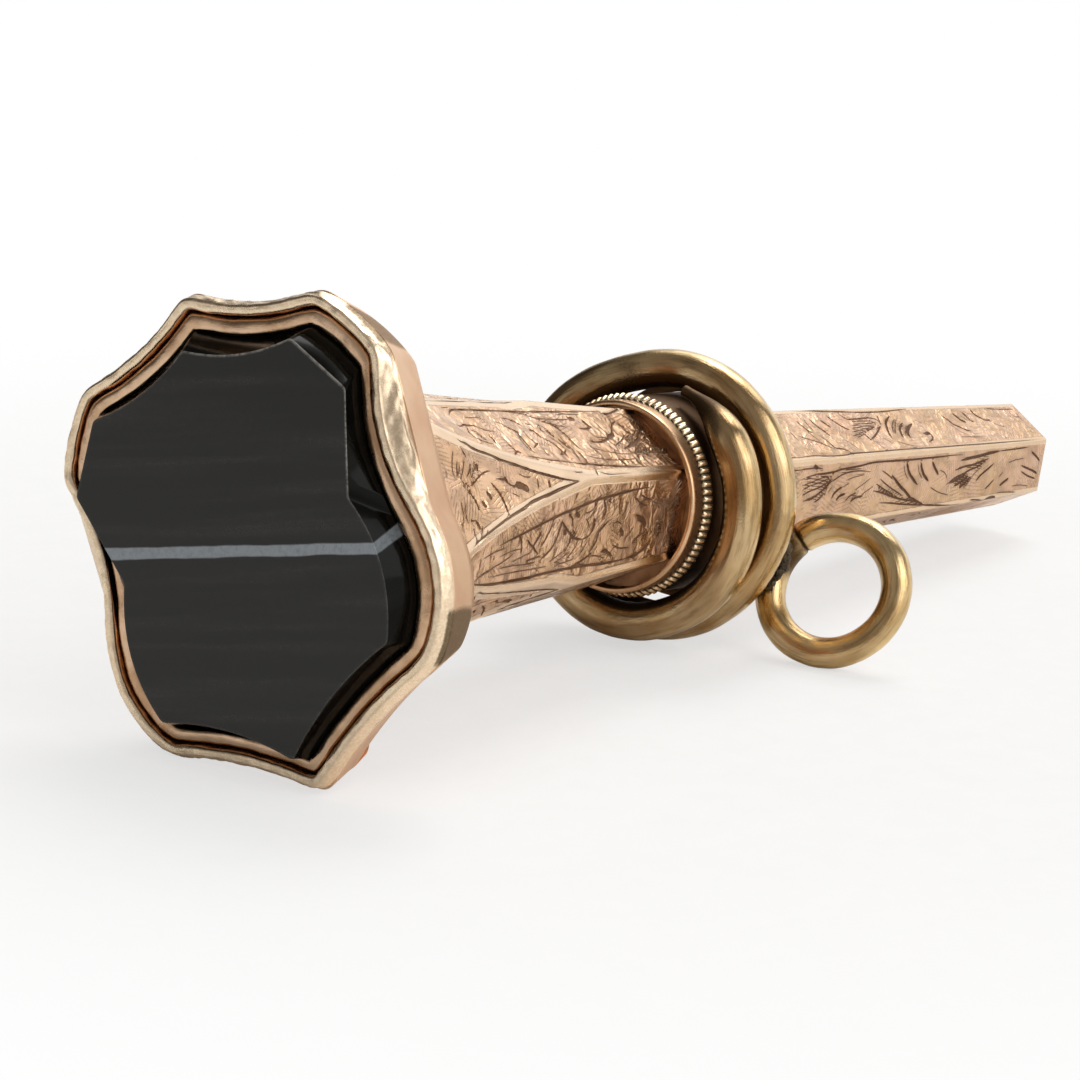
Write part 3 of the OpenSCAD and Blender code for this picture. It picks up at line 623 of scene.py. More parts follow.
def facetUpper():
    cuts = [
        (0.026, 4.16, -0.64, 4.43, -0.82, 4.81, -0.92, 5.96, -1, 7.31, -1.04, 8.94, -1.07, 10.61, -1.13,
         12.71, -1.19), (0.03, 12.72, -1.2, 13.13, -1.08, 14, -1.29, 14.77, -1.5),
        (0.012, 4.08, -0.93, 4.51, -0.98),
        (0.018, 4.09, -0.27, 4.23, -0.2, 4.64, -0.29, 5.12, -0.29, 5.5, -0.16, 6.05, -0.13),
        (0.02, 4.6, -0.2, 4.45, 0.01, 4.54, 0.2, 4.8, 0.34, 5.26, 0.44),
        (0.016, 4.81, 0.02, 4.89, 0.13, 4.97, 0.28), (0.028, 5.44, 0.07, 5.49, 0.2, 5.43, 0.41),
        (0.03, 4.43, -0.29, 4.92, -0.29), (0.012, 4.96, -0.6, 5.4, -0.65, 5.89, -0.67),
        (0.016, 6.45, -0.56, 6.77, -0.48, 6.9, -0.32, 7.13, -0.25, 7.31, -0.18),
        (0.018, 7.01, -0.74, 7.35, -0.71, 7.56, -0.62, 7.74, -0.5),
        (0.032, 7.41, -0.67, 7.62, -0.62, 7.73, -0.49),
        (0.03, 6.89, -0.4, 7.08, -0.25, 7.2, -0.13, 7.17, 0.03, 7.17, 0.22, 7.16, 0.4, 7.13, 0.6, 7.2, 0.68),
        (0.014, 7.1, -0.09, 7.02, 0.16, 7.02, 0.43, 7.02, 0.61),
        (0.032, 6.14, 0.33, 6.16, 0.49, 6.21, 0.62, 6.3, 0.72), (0.022, 5.92, 0.82, 6.24, 0.66, 6.42, 0.71),
        (0.042, 7.96, -0.28, 8.16, -0.27, 8.23, -0.15, 8.22, 0), (0.022, 8.72, -0.43, 8.63, -0.31, 8.72, -0.21),
        (0.016, 8.07, -0.56, 8.33, -0.5), (0.04, 8.88, -0.29, 8.95, -0.17, 9.02, -0.05),
        (0.045, 9.14, 0.03, 9.18, 0.18, 9.23, 0.32, 9.3, 0.44),
        (0.03, 8.28, -0.01, 8.46, 0.11, 8.64, 0.23, 8.71, 0.39, 8.73, 0.56, 8.8, 0.68, 8.76, 0.84),
        (0.018, 8.72, -0.02, 8.9, 0.14, 8.98, 0.3, 9.03, 0.49), (0.032, 8.45, 0.73, 8.77, 0.62, 8.75, 0.76),
        (0.02, 9, 0.51, 8.59, 0.72), (0.022, 7.78, 0.5, 7.8, 0.62, 7.79, 0.77), (0.018, 7.68, 0.1, 7.65, 0.3),
        (0.018, 7.34, 0.47, 7.81, 0.25), (0.012, 7.63, -0.27, 7.56, 0.02, 7.63, 0.18),
        (0.018, 7.79, -0.99, 8.38, -0.96, 8.84, -0.81, 9.11, -0.67, 9.43, -0.54),
        (0.034, 9.22, -0.68, 9.49, -0.54, 9.64, -0.4, 9.72, -0.23, 9.76, -0.04, 9.79, 0.16, 9.81, 0.37,
         9.94, 0.51), (0.045, 9.59, 0.56, 9.63, 0.75, 9.6, 0.91, 9.53, 1.06),
        (0.016, 9.36, -0.16, 9.34, 0.13, 9.38, 0.42, 9.35, 0.71, 9.22, 0.96),
        (0.02, 8.72, -0.89, 9.14, -0.79, 9.67, -0.78, 10.2, -0.78, 10.71, -0.8),
        (0.075, 10.69, -0.83, 11.03, -0.84), (0.018, 9.42, -0.66, 9.71, -0.54, 10.16, -0.47),
        (0.06, 11.44, -0.77, 11.45, -0.62, 11.55, -0.5), (0.035, 10.83, -0.44, 11.18, -0.41, 11.55, -0.5),
        (0.036, 10.78, 0.1, 11.1, 0.15, 11.49, 0.11, 12, -0.04, 12.51, -0.24),
        (0.07, 12.02, -0.06, 12.48, -0.22), (0.02, 12.58, -0.43, 12.32, -0.17),
        (0.022, 12, -0.51, 12.1, -0.4, 12.14, -0.25), (0.06, 13.24, -0.63, 13.42, -0.53),
        (0.055, 13.32, -0.35, 13.48, -0.27),
        (0.045, 14.49, -0.76, 14.32, -0.5, 13.97, -0.23, 13.48, 0.03, 12.87, 0.25, 12.31, 0.41),
        (0.016, 13.22, -0.78, 12.71, -0.52, 12.48, -0.26), (0.016, 13.06, -0.18, 12.52, 0.08, 11.92, 0.3),
        (0.014, 14.42, -0.93, 14.27, -0.67, 13.79, -0.32, 13.24, -0.05),
        (0.014, 13.02, -1.03, 12.99, -0.82, 12.79, -0.56),
        (0.014, 10.48, 0.36, 11.11, 0.52, 11.81, 0.62, 12.46, 0.63),
        (0.014, 9.8, 0.7, 10.45, 0.84, 11.2, 0.89, 12.43, 0.84), (0.02, 12.47, 0.44, 12.63, 0.59, 12.92, 0.67),
        (0.02, 6.59, 0.84, 7.17, 0.89, 7.73, 0.95, 8.36, 1, 8.84, 1.05),
        (0.03, 8.74, 1.04, 9.6, 1.09, 10.38, 1.12, 11.28, 1.15, 12.36, 1.17),
        (0.024, 7.35, 1.27, 7.49, 1.42, 8.12, 1.43, 8.83, 1.42), (0.026, 8.68, 1.54, 8.87, 1.7, 9.26, 1.74),
        (0.026, 9.67, 1.3, 9.48, 1.57), (0.018, 9.77, 1.4, 10.21, 1.49, 11.05, 1.48, 11.77, 1.48),
        (0.012, 10.21, -0.97, 10.82, -1.03, 11.55, -1.01), (0.014, 11.24, -0.28, 11.37, -0.07, 11.82, -0.08),
        (0.012, 4.61, -0.08, 4.92, -0.03, 5.01, 0.16, 5.09, 0.31), (0.012, 6.04, 0.05, 6.13, 0.25, 6.05, 0.49),
        (0.014, 8.65, -0.55, 8.89, -0.44, 9.02, -0.28)]
    return (cuts + plume(13.0, -0.3, 20, 14, 6, 0.9) + comb(12.6, 0.6, 0.16, 0.0, 12, -35, 0.5)
            + comb(0.4, -0.9, 0.0, 0.3, 6, 8, 1.6))


def facetLower():
    cuts = [
        (0.034, 12.65, -0.98, 12.06, -0.98, 11.49, -0.96, 10.64, -0.91, 9.8, -0.86, 9.25, -0.8, 8.71, -0.73,
         7.89, -0.63, 7.2, -0.52, 6.55, -0.41, 5.91, -0.29, 5.37, -0.21, 4.82, -0.13, 4.37, -0.05),
        (0.034, 2.9, 0.82, 3.5, 0.93, 4.43, 1.02, 5.31, 1.04, 6.17, 1.06, 7.01, 1.04, 7.85, 1.03, 8.7, 1.03,
         9.55, 1.04, 10.42, 1.08, 11.28, 1.08, 11.96, 1.05),
        (0.045, 11.96, 1.05, 12.47, 0.99, 12.84, 0.88, 13.2, 0.72), (0.03, 8.75, 1, 9.33, 0.87, 9.84, 0.7),
        (0.038, 5.42, -0.23, 5.62, -0.06, 5.7, 0.12, 5.71, 0.32),
        (0.03, 5.96, -0.06, 6.15, 0.08, 6.43, 0.25, 6.71, 0.44),
        (0.04, 6.34, 0.24, 6.48, 0.06, 6.66, -0.09, 6.73, -0.23), (0.016, 6.64, 0.22, 6.75, 0.03, 6.87, -0.13),
        (0.034, 6.82, 0.24, 6.99, 0.08, 7.11, -0.08, 7.23, -0.24, 7.24, -0.38),
        (0.032, 6.83, 0.64, 7.18, 0.49, 7.46, 0.33, 7.63, 0.14, 7.73, -0.07, 7.78, -0.27, 7.84, -0.45),
        (0.022, 6.07, 0.56, 6.46, 0.53, 6.9, 0.5), (0.018, 6.11, 0.5, 6.21, 0.66, 6.61, 0.64),
        (0.034, 7.79, -0.41, 8.01, -0.25, 8.24, -0.09, 8.51, 0.08, 8.83, 0.2, 9.19, 0.25),
        (0.032, 8.13, -0.58, 8.41, -0.41, 8.42, -0.21), (0.06, 8.53, -0.59, 8.8, -0.45),
        (0.05, 9.63, -0.33, 9.72, -0.12, 9.64, 0.07), (0.02, 8.51, -0.29, 8.52, -0.09, 8.8, 0.11),
        (0.022, 9.63, 0.04, 9.5, 0.18, 9.18, 0.23), (0.045, 8.05, -0.15, 8.13, 0.02),
        (0.028, 8.48, 0.07, 8.45, 0.25, 8.34, 0.41, 8.21, 0.56),
        (0.022, 8.91, 0.25, 8.82, 0.43, 8.64, 0.59, 8.38, 0.73), (0.032, 9.19, 0.26, 9.15, 0.49),
        (0.016, 9.43, 0.31, 9.33, 0.51, 9.09, 0.66), (0.016, 7.42, 0.72, 7.78, 0.62, 8.14, 0.49),
        (0.014, 7.72, 0.78, 8.14, 0.68, 8.49, 0.54),
        (0.042, 10.05, -0.81, 10.21, -0.63, 10.27, -0.45, 10.2, -0.23),
        (0.016, 11.34, -0.71, 11.45, -0.53, 11.45, -0.35, 11.31, -0.16),
        (0.014, 11.62, -0.72, 11.7, -0.48, 11.65, -0.28),
        (0.034, 10.53, -0.18, 10.27, -0.02, 10.06, 0.14, 10.01, 0.34, 9.89, 0.5, 9.71, 0.66),
        (0.05, 10.36, 0.72, 10.61, 0.7, 10.78, 0.79, 11.05, 0.9), (0.07, 11.29, 0.13, 11.53, 0.33),
        (0.085, 12.23, -0.11, 12.55, -0.02, 12.79, 0.18), (0.03, 12.08, -0.21, 12.46, -0.12),
        (0.012, 4.47, 0.6, 5.46, 0.62, 6.39, 0.68), (0.016, 3.35, 0.66, 4.1, 0.55, 4.82, 0.41, 5.34, 0.25),
        (0.016, 3.5, 0.21, 4.13, 0.1, 4.76, 0.05), (0.013, 4, 0.79, 5.24, 0.8, 6.38, 0.83, 7.29, 0.84),
        (0.013, 3.13, 0.76, 3.65, 0.66, 4.12, 0.6), (0.012, 4.48, 0.27, 5.15, 0.18, 5.72, 0.18),
        (0.012, 5.25, 0.5, 5.8, 0.41, 6.34, 0.33), (0.02, 10.28, -0.8, 10.54, -0.69),
        (0.016, 9.69, -0.68, 9.34, -0.53, 9.05, -0.53), (0.014, 6.79, -0.56, 6.63, -0.35, 6.34, -0.21),
        (0.02, 7.41, -0.56, 7.28, -0.43), (0.012, 9.17, -0.35, 9.39, -0.18, 9.33, -0.01),
        (0.016, 10.75, -0.03, 11.02, -0.1, 11.33, -0.01), (0.016, 11.65, 0.43, 11.9, 0.3, 12.07, 0.11),
        (0.014, 11, 0.58, 11.45, 0.71, 11.97, 0.73), (0.02, 12.2, 0.54, 12.58, 0.42, 12.89, 0.3),
        (0.02, 11.91, -0.73, 12.26, -0.55, 12.71, -0.42), (0.02, 12.11, -0.83, 12.51, -0.68, 12.83, -0.59),
        (0.014, 10.86, -0.75, 10.82, -0.52, 10.66, -0.3), (0.012, 9.87, -0.63, 9.82, -0.43, 9.84, -0.2),
        (0.014, 9.64, 0.77, 10.1, 0.81, 10.59, 0.92), (0.014, 7.8, 0.85, 8.41, 0.82, 8.89, 0.76)]
    return (cuts + plume(13.2, 0.2, -60, 14, 8, 0.8) + comb(12.9, -0.6, 0.15, 0.0, 11, 50, 0.4)
            + comb(0.6, -0.9, 0.0, 0.3, 6, 8, 1.4))


def facetCorner():
    cuts = [
        (0.034, 2.74, -2.39, 2.86, -1.93, 3.1, -1.64, 3.41, -1.41, 3.78, -1.19, 4.17, -1.02, 4.58, -0.9,
         5.06, -0.72, 5.55, -0.58, 6.09, -0.42, 6.6, -0.27, 7.07, -0.16, 7.6, -0.04, 8.04, 0.04, 8.46, 0.09),
        (0.036, 8.46, 0.1, 7.98, 0.18, 7.45, 0.27, 6.92, 0.38, 6.39, 0.47, 5.98, 0.55, 5.58, 0.69, 5.05, 0.83,
         4.5, 0.99, 3.95, 1.18, 3.39, 1.37, 2.98, 1.54, 2.66, 1.71, 2.38, 1.89),
        (0.026, 3.34, -0.03, 3.63, -0.16, 3.93, -0.31, 4.21, -0.4, 4.45, -0.42),
        (0.036, 3.13, 0.01, 3.29, 0.16, 3.41, 0.31, 3.47, 0.48, 3.49, 0.65),
        (0.038, 4.35, -0.1, 4.48, 0.03, 4.6, 0.18, 4.69, 0.38, 4.74, 0.58, 4.77, 0.81),
        (0.026, 4.62, -0.19, 4.98, -0.15, 5.12, -0.05, 5.31, 0.05, 5.59, 0.07),
        (0.1, 5.51, 0.03, 5.72, 0.07, 6, 0.19), (0.045, 5.05, -0.21, 5.12, -0.09),
        (0.05, 4.03, 0.14, 4.15, 0.24, 4.16, 0.36), (0.055, 3.74, 0.41, 3.84, 0.54),
        (0.022, 3.42, -1.12, 3.5, -0.98, 3.52, -0.84), (0.014, 3.41, -0.79, 3.23, -0.52, 3.01, -0.25),
        (0.022, 3.64, -0.69, 3.55, -0.5, 3.33, -0.32), (0.045, 3.96, -0.66, 3.88, -0.46),
        (0.014, 3.83, -0.74, 3.74, -0.49, 3.49, -0.25), (0.014, 3.09, -0.8, 2.87, -0.39),
        (0.012, 3.15, -0.74, 3.05, -0.53, 2.83, -0.26), (0.045, 3.16, 0.89, 3.27, 1.02, 3.27, 1.16),
        (0.025, 2.96, 0.87, 3.17, 0.93), (0.016, 3.44, 1.06, 3.26, 1.33),
        (0.018, 2.97, 1.06, 2.97, 1.26, 3.02, 1.46), (0.014, 2.95, 0.39, 2.81, 0.69, 2.79, 1.02),
        (0.02, 6.53, -0.08, 6.48, 0.18), (0.045, 7.06, 0.01, 7.03, 0.18),
        (0.016, 3.03, -1.09, 2.79, -0.68, 2.72, -0.32), (0.012, 2.76, 0.3, 2.69, 0.63, 2.59, 0.96),
        (0.02, 3.61, 1.19, 3.57, 1.38), (0.03, 3.02, -0.05, 3.18, -0.1, 3.34, -0.03),
        (0.012, 5.74, -0.27, 5.98, -0.17, 6.26, -0.15), (0.012, 5.18, 0.24, 5.49, 0.37)]
    return cuts + plume(1.2, 0.2, 60, 11, 8, 0.9) + comb(0.8, -1.2, 0.05, 0.3, 8, 5, 1.1)


def facetRearUpper():
    cuts = [
        (0.026, 4.39, -1.15, 5.25, -1.11, 6.11, -1.05, 6.97, -1, 8.15, -0.93, 9.34, -0.86, 10.62, -0.84,
         11.64, -0.87, 12.42, -0.9),
        (0.022, 3.12, 0.98, 3.58, 0.95, 4.2, 0.93, 5.05, 0.99, 5.99, 0.99, 6.68, 0.94, 7.3, 0.94, 8.26, 0.94,
         9.27, 0.92, 10.25, 0.92, 11.25, 0.92, 12.25, 0.92, 13.63, 0.91, 15.03, 0.91, 16.45, 0.9, 17.9, 0.89,
         19.59, 0.9), (0.028, 5.03, -0.64, 5.07, -0.48, 5.15, -0.25, 5.33, -0.05),
        (0.026, 5.91, -0.7, 5.92, -0.42, 6.03, -0.16, 6.22, 0.08), (0.036, 6.02, -0.23, 6.12, -0.09, 6.16, 0.1),
        (0.042, 6.47, -0.58, 6.6, -0.42, 6.7, -0.25),
        (0.034, 7.08, -0.79, 7.19, -0.58, 7.32, -0.39, 7.51, -0.19, 7.7, -0.09),
        (0.014, 5.53, -0.69, 5.48, -0.42, 5.5, -0.18), (0.014, 4.06, -0.16, 4.07, 0.07, 4.14, 0.26),
        (0.022, 4.3, 0.04, 4.71, 0.19, 5.13, 0.35, 5.49, 0.55, 5.73, 0.7),
        (0.024, 5.58, 0.09, 5.71, 0.28, 5.78, 0.47, 5.85, 0.66, 6.2, 0.72, 6.44, 0.83, 6.51, 1.01),
        (0.014, 5.09, -0.2, 5.17, 0.08, 5.3, 0.31), (0.014, 5.95, -0.44, 6.02, -0.25),
        (0.026, 7.95, -0.88, 8.02, -0.69, 8.19, -0.57, 8.7, -0.57, 9.24, -0.59, 9.68, -0.57, 9.93, -0.47,
         9.94, -0.33), (0.013, 8.28, -0.44, 8.84, -0.48, 9.31, -0.45, 9.81, -0.33),
        (0.013, 7.99, -0.27, 8.65, -0.33, 9.25, -0.35, 9.75, -0.29),
        (0.013, 7.87, -0.13, 8.47, -0.2, 9.12, -0.25, 9.69, -0.24),
        (0.016, 7.76, 0.01, 8.3, -0.06, 8.9, -0.13, 9.57, -0.2),
        (0.016, 7.53, 0.18, 8.01, 0.11, 8.64, -0.03, 9.45, -0.16),
        (0.013, 7.72, 0.28, 8.19, 0.16, 8.73, 0, 9.51, -0.15), (0.034, 8.34, 0.1, 8.38, 0.27, 8.39, 0.41),
        (0.028, 8.39, 0.41, 8.86, 0.24, 9.34, 0.03, 9.79, -0.19),
        (0.02, 10.17, -0.65, 10.05, -0.46, 9.88, -0.23),
        (0.042, 10.89, -0.6, 10.37, -0.36, 10.07, -0.08, 9.9, 0.15, 9.79, 0.4),
        (0.042, 11.34, -0.27, 10.88, -0.05, 10.65, 0.18, 10.53, 0.39),
        (0.05, 11.91, -0.22, 11.42, -0.03, 11.08, 0.2, 10.97, 0.41),
        (0.013, 11.05, -0.47, 10.5, -0.16, 10.18, 0.16), (0.013, 11.47, -0.17, 11.02, 0.1, 10.78, 0.33),
        (0.012, 11.12, -0.42, 10.57, -0.06, 10.27, 0.21),
        (0.024, 11.97, 0.28, 12.41, 0.21, 12.48, 0.31, 12.42, 0.45, 12.18, 0.58, 11.86, 0.66),
        (0.06, 12.1, 0.29, 12.41, 0.26),
        (0.036, 14.28, -0.52, 14.46, -0.29, 14.53, -0.09, 14.8, 0.07, 15, 0.22, 15.33, 0.29),
        (0.055, 15.2, -0.58, 15.24, -0.4, 15.31, -0.25, 15.52, -0.15),
        (0.042, 15.86, -0.6, 15.9, -0.43, 15.91, -0.23, 16.05, -0.13),
        (0.045, 16.6, -0.72, 16.57, -0.55, 16.64, -0.4, 16.81, -0.27),
        (0.03, 16.78, -0.34, 16.92, -0.19, 17.26, -0.18), (0.014, 14.29, 0.53, 14.83, 0.55, 15.74, 0.6),
        (0.02, 17.68, -0.73, 18.66, -0.66, 19.58, -0.64), (0.014, 19.1, -0.56, 19.17, -0.3, 19.45, -0.24),
        (0.014, 19.52, -0.44, 19.45, -0.14, 19.53, -0.04), (0.012, 6.83, 0.34, 7.02, 0.53, 7.15, 0.81),
        (0.012, 8.57, 0.42, 8.64, 0.65, 8.78, 0.85), (0.011, 9.86, 0.52, 10.24, 0.68, 10.74, 0.8),
        (0.012, 14.33, -0.1, 14.48, 0.2, 14.75, 0.41), (0.011, 17.19, -0.13, 17.47, 0.08, 17.88, 0.2)]
    return (cuts + plume(0.6, -0.7, 10, 14, 7, 1.1) + comb(1.4, 0.5, 0.2, 0.0, 6, -50, 0.5)
            + [(0.024, 0.2, 0.98, 3.2, 0.95)])


def facetRearLower():
    cuts = [
        (0.028, 3.3, -0.53, 3.7, -0.61, 4.18, -0.65, 4.8, -0.65, 5.3, -0.67, 5.78, -0.72, 6.28, -0.74,
         6.91, -0.76, 7.54, -0.81, 8.19, -0.82, 9.18, -0.79, 10.19, -0.76, 11.21, -0.75, 12.23, -0.74,
         13.06, -0.74, 13.84, -0.72), (0.018, 3.12, -0.87, 3.73, -0.87, 4.23, -0.86, 4.56, -0.81),
        (0.06, 3.99, -0.94, 4.24, -0.85),
        (0.016, 5.32, -0.6, 4.87, -0.44, 4.28, -0.35, 3.81, -0.29, 3.47, -0.18),
        (0.022, 5.23, -0.48, 4.85, -0.31, 4.45, -0.21, 3.86, -0.12, 3.53, -0.02),
        (0.034, 5.24, -0.45, 5.04, -0.3, 4.79, -0.13, 4.46, 0.01, 4.06, 0.11, 3.65, 0.16),
        (0.022, 4.69, -0.07, 4.36, 0.07, 4.02, 0.17), (0.028, 4.89, -0.01, 4.64, 0.15, 4.36, 0.24),
        (0.012, 3.54, -0.53, 3.96, -0.56, 4.45, -0.59),
        (0.015, 3.42, -0.34, 4.01, -0.43, 4.6, -0.52, 5.08, -0.55),
        (0.02, 4.93, 0.11, 5.02, -0.17, 5.21, -0.35, 5.5, -0.43, 5.84, -0.54, 6.33, -0.6, 6.97, -0.6,
         7.71, -0.52), (0.04, 5.43, 0.19, 5.54, 0.05, 5.75, -0.06, 5.98, -0.13),
        (0.04, 5.74, 0.28, 5.95, 0.14, 6.25, 0.1), (0.022, 6.33, 0.33, 6.6, 0.19, 6.96, 0.12),
        (0.034, 6.67, 0.39, 6.95, 0.28, 7.46, 0.25), (0.016, 5.14, -0.01, 5.33, -0.19),
        (0.014, 6.04, -0.14, 6.39, -0.23), (0.012, 6.86, 0.01, 7.26, -0.12, 7.78, -0.32),
        (0.012, 7.37, 0.18, 7.72, 0.07, 8, -0.04), (0.011, 6.22, -0.35, 6.71, -0.42, 7.28, -0.45),
        (0.05, 9.15, -0.33, 9.57, -0.07, 9.9, 0.12, 10.22, 0.27, 10.48, 0.42, 10.8, 0.57),
        (0.016, 8.42, -0.52, 8.88, -0.35, 9.27, -0.17),
        (0.02, 8.39, -0.25, 8.93, -0.01, 9.54, 0.22, 10.15, 0.43), (0.02, 8.18, -0.1, 8.85, 0.14, 9.52, 0.34),
        (0.014, 8.36, 0.05, 9.09, 0.26, 9.82, 0.44),
        (0.03, 8.06, 0.12, 8.69, 0.23, 9.26, 0.37, 9.98, 0.52, 10.83, 0.64, 11.48, 0.77),
        (0.024, 8.6, 0.55, 9.35, 0.61, 10.04, 0.69, 11.08, 0.79, 11.85, 0.85, 12.84, 0.93, 14.13, 1.01),
        (0.034, 10.72, 0.52, 11.18, 0.68, 11.64, 0.83),
        (0.05, 10.02, -0.69, 10.15, -0.5, 10.36, -0.28, 10.63, -0.1, 11.01, 0.12),
        (0.055, 10.98, -0.63, 11.13, -0.4, 11.34, -0.19, 11.73, 0.04),
        (0.05, 11.77, -0.6, 12.02, -0.38, 12.35, -0.14), (0.013, 9.83, -0.65, 9.99, -0.37, 10.28, -0.12),
        (0.013, 10.79, -0.59, 10.96, -0.31, 11.25, -0.06),
        (0.05, 13.77, -0.53, 14.38, -0.57, 15.08, -0.6, 15.77, -0.66, 16.49, -0.69),
        (0.02, 16.49, -0.69, 17.36, -0.69, 18.54, -0.7),
        (0.034, 13.47, -0.21, 14, -0.29, 14.62, -0.32, 15.16, -0.39, 15.77, -0.47),
        (0.03, 13.01, 0.25, 13.56, 0.05, 14.09, -0.05, 14.54, -0.16, 15.01, -0.23, 15.59, -0.38),
        (0.05, 13.2, 0.2, 13.79, 0.1, 14.3, -0.04), (0.05, 13.59, 0.33, 14.1, 0.19, 14.47, 0.04),
        (0.045, 13.98, 0.42, 14.28, 0.29, 14.7, 0.07),
        (0.038, 15.09, 0.27, 15.29, 0.13, 15.53, 0.01, 15.84, -0.11, 16.21, -0.28),
        (0.014, 14.28, 0.47, 14.67, 0.19, 14.94, -0.03, 15.37, -0.21),
        (0.045, 16.91, 0.53, 17.2, 0.42, 17.49, 0.32), (0.028, 15.89, 0.58, 16.13, 0.46, 16.42, 0.29),
        (0.016, 16.76, 0.22, 16.99, 0.07), (0.032, 18.26, -0.08, 18.75, 0.04, 19.25, 0.17, 19.59, 0.28),
        (0.026, 18.34, 0.13, 18.94, 0.33, 19.51, 0.45), (0.034, 18.86, -0.53, 19.27, -0.35, 19.6, -0.17),
        (0.04, 15.96, 0.98, 16.37, 0.9, 16.73, 0.91), (0.02, 14.93, 0.89, 15.52, 0.93, 15.99, 1.03),
        (0.014, 16.75, 0.78, 17.41, 0.79, 18.17, 0.84), (0.012, 12.4, -0.29, 12.79, -0.16, 13.01, 0.05),
        (0.012, 17.24, -0.23, 17.73, -0.3, 18.38, -0.33), (0.012, 17.86, 0.61, 18.45, 0.61, 19.08, 0.69),
        (0.012, 11.91, 0.25, 12.53, 0.46, 13.28, 0.61)]
    return (cuts + plume(0.6, 0.7, -70, 14, 7, 1.1) + comb(0.8, -0.4, 0.22, 0.0, 7, 60, 0.5)
            + [(0.024, 0.2, -0.9, 3.2, -0.86)])


def smoothStroke(points):
    if len(points) < 3:
        return np.linspace(points[0], points[1], 6)
    return np.array(roundedPath(points, 6))


def cutField(points, strokes):
    # for each point of a facet: signed gap to the nearest cut's edge, offset from its middle, half width
    reach = 0.3
    parts = []
    for width, *line in strokes:
        path = smoothStroke(np.reshape(line, (-1, 2)))
        t = np.linspace(0, 1, len(path))
        half = width * np.clip(np.minimum(t, 1 - t) * 5 + 0.15, 0, 1)
        parts.append(np.concatenate([path[:-1], path[1:], half[:-1, None], half[1:, None]], 1))
    cuts = np.concatenate(parts).astype(np.float32)
    a, b, ha, hb = cuts[:, 0:2], cuts[:, 2:4], cuts[:, 4], cuts[:, 5]
    d = b - a
    length = np.maximum((d ** 2).sum(1), 1e-9)
    points = points.astype(np.float32)
    gap = np.full(len(points), reach, np.float32)
    place = np.tile(np.array([reach, 0, 0], np.float32), (len(points), 1))
    for i in range(0, len(points), 500):
        p = points[i:i + 500]
        low, high = p.min(0) - 0.25, p.max(0) + 0.25
        near = (np.minimum(a, b) < high).all(1) & (np.maximum(a, b) > low).all(1)
        if not near.any():
            continue
        rel = p[:, None] - a[None, near]
        t = np.clip((rel * d[near]).sum(2) / length[near], 0, 1)
        off = rel - t[..., None] * d[near]
        half = ha[near] + (hb[near] - ha[near]) * t
        dist = np.sqrt((off ** 2).sum(2)) - half
        best = dist.argmin(1)
        row = np.arange(len(p))
        gap[i:i + 500] = np.minimum(reach, dist[row, best])
        place[i:i + 500, :2] = off[row, best]
        place[i:i + 500, 2] = half[row, best]
    return gap, place


def engravedDepth(gap, place, depth):
    t = fall(gap, 0.015, 0.05)
    return depth * t * t * (3 - 2 * t) * np.clip(place[:, 2] / 0.03, 0, 1)


def facetPoints(angle, out, across, z):
    n = np.array([math.cos(angle), math.sin(angle)])
    t = np.array([-n[1], n[0]])
    return np.stack([out * n[0] + across * t[0], out * n[1] + across * t[1], z], -1)


def addPatch(skin, **patch):
    for name, values in patch.items():
        skin.setdefault(name, []).append(values)


def gridFaces(grid):
    return np.stack([grid[:-1, :-1], grid[:-1, 1:], grid[1:, 1:], grid[1:, :-1]], -1).reshape(-1, 4)


def stripFaces(a, b):
    # faces between two lines of points that run side by side
    return np.stack([a[:-1], b[:-1], b[1:], a[1:]], -1)


def layStem(skin, quads, others, name, node, finish):
    mesh = bpy.data.meshes.new(name)
    faces = [tuple(int(i) for i in f) for f in [*np.concatenate(quads), *others]]
    mesh.from_pydata(np.concatenate(skin.pop("points")).tolist(), [], faces)
    stem = bpy.data.objects.new(name, mesh)
    bpy.context.collection.objects.link(stem)
    for kind, parts in skin.items():
        values = np.concatenate(parts)
        setAttribute(stem, kind, np.clip(values, 0, 1) if kind == "ridge" else values)
    tidyMesh(stem, 0.00005)
    layPiece(stem, name, "key", [node], finish, 35)


# d runs from the collar, 0, to the seal; sizes are across the stem
stemShape = {"length": 15.0, "flats": 4.54, "slope": 0.073, "flare": 1.15, "run": 2.8,
             "corner": 3.15, "cornerFlare": 0.5, "cornerRun": 1.2, "sharper": 0.083, "sharpFrom": 7,
             "rows": 250, "columns": 46, "cornerColumns": 24, "bevel": 0.03,
             "stripFrom": 7.5, "stripNarrower": 0.06, "patternShift": 7.0}


def facetAt(d):
    s = stemShape
    return s["flats"] / 2 + s["slope"] * d + s["flare"] * np.exp((d - s["length"]) / s["run"])


def cornerAt(d, sharp):
    # every second corner is cut back less towards the seal
    s = stemShape
    cut = s["corner"] + s["cornerFlare"] * np.exp((d - s["length"]) / s["cornerRun"])
    return cut + sharp * s["sharper"] * np.maximum(d - s["sharpFrom"], 0)


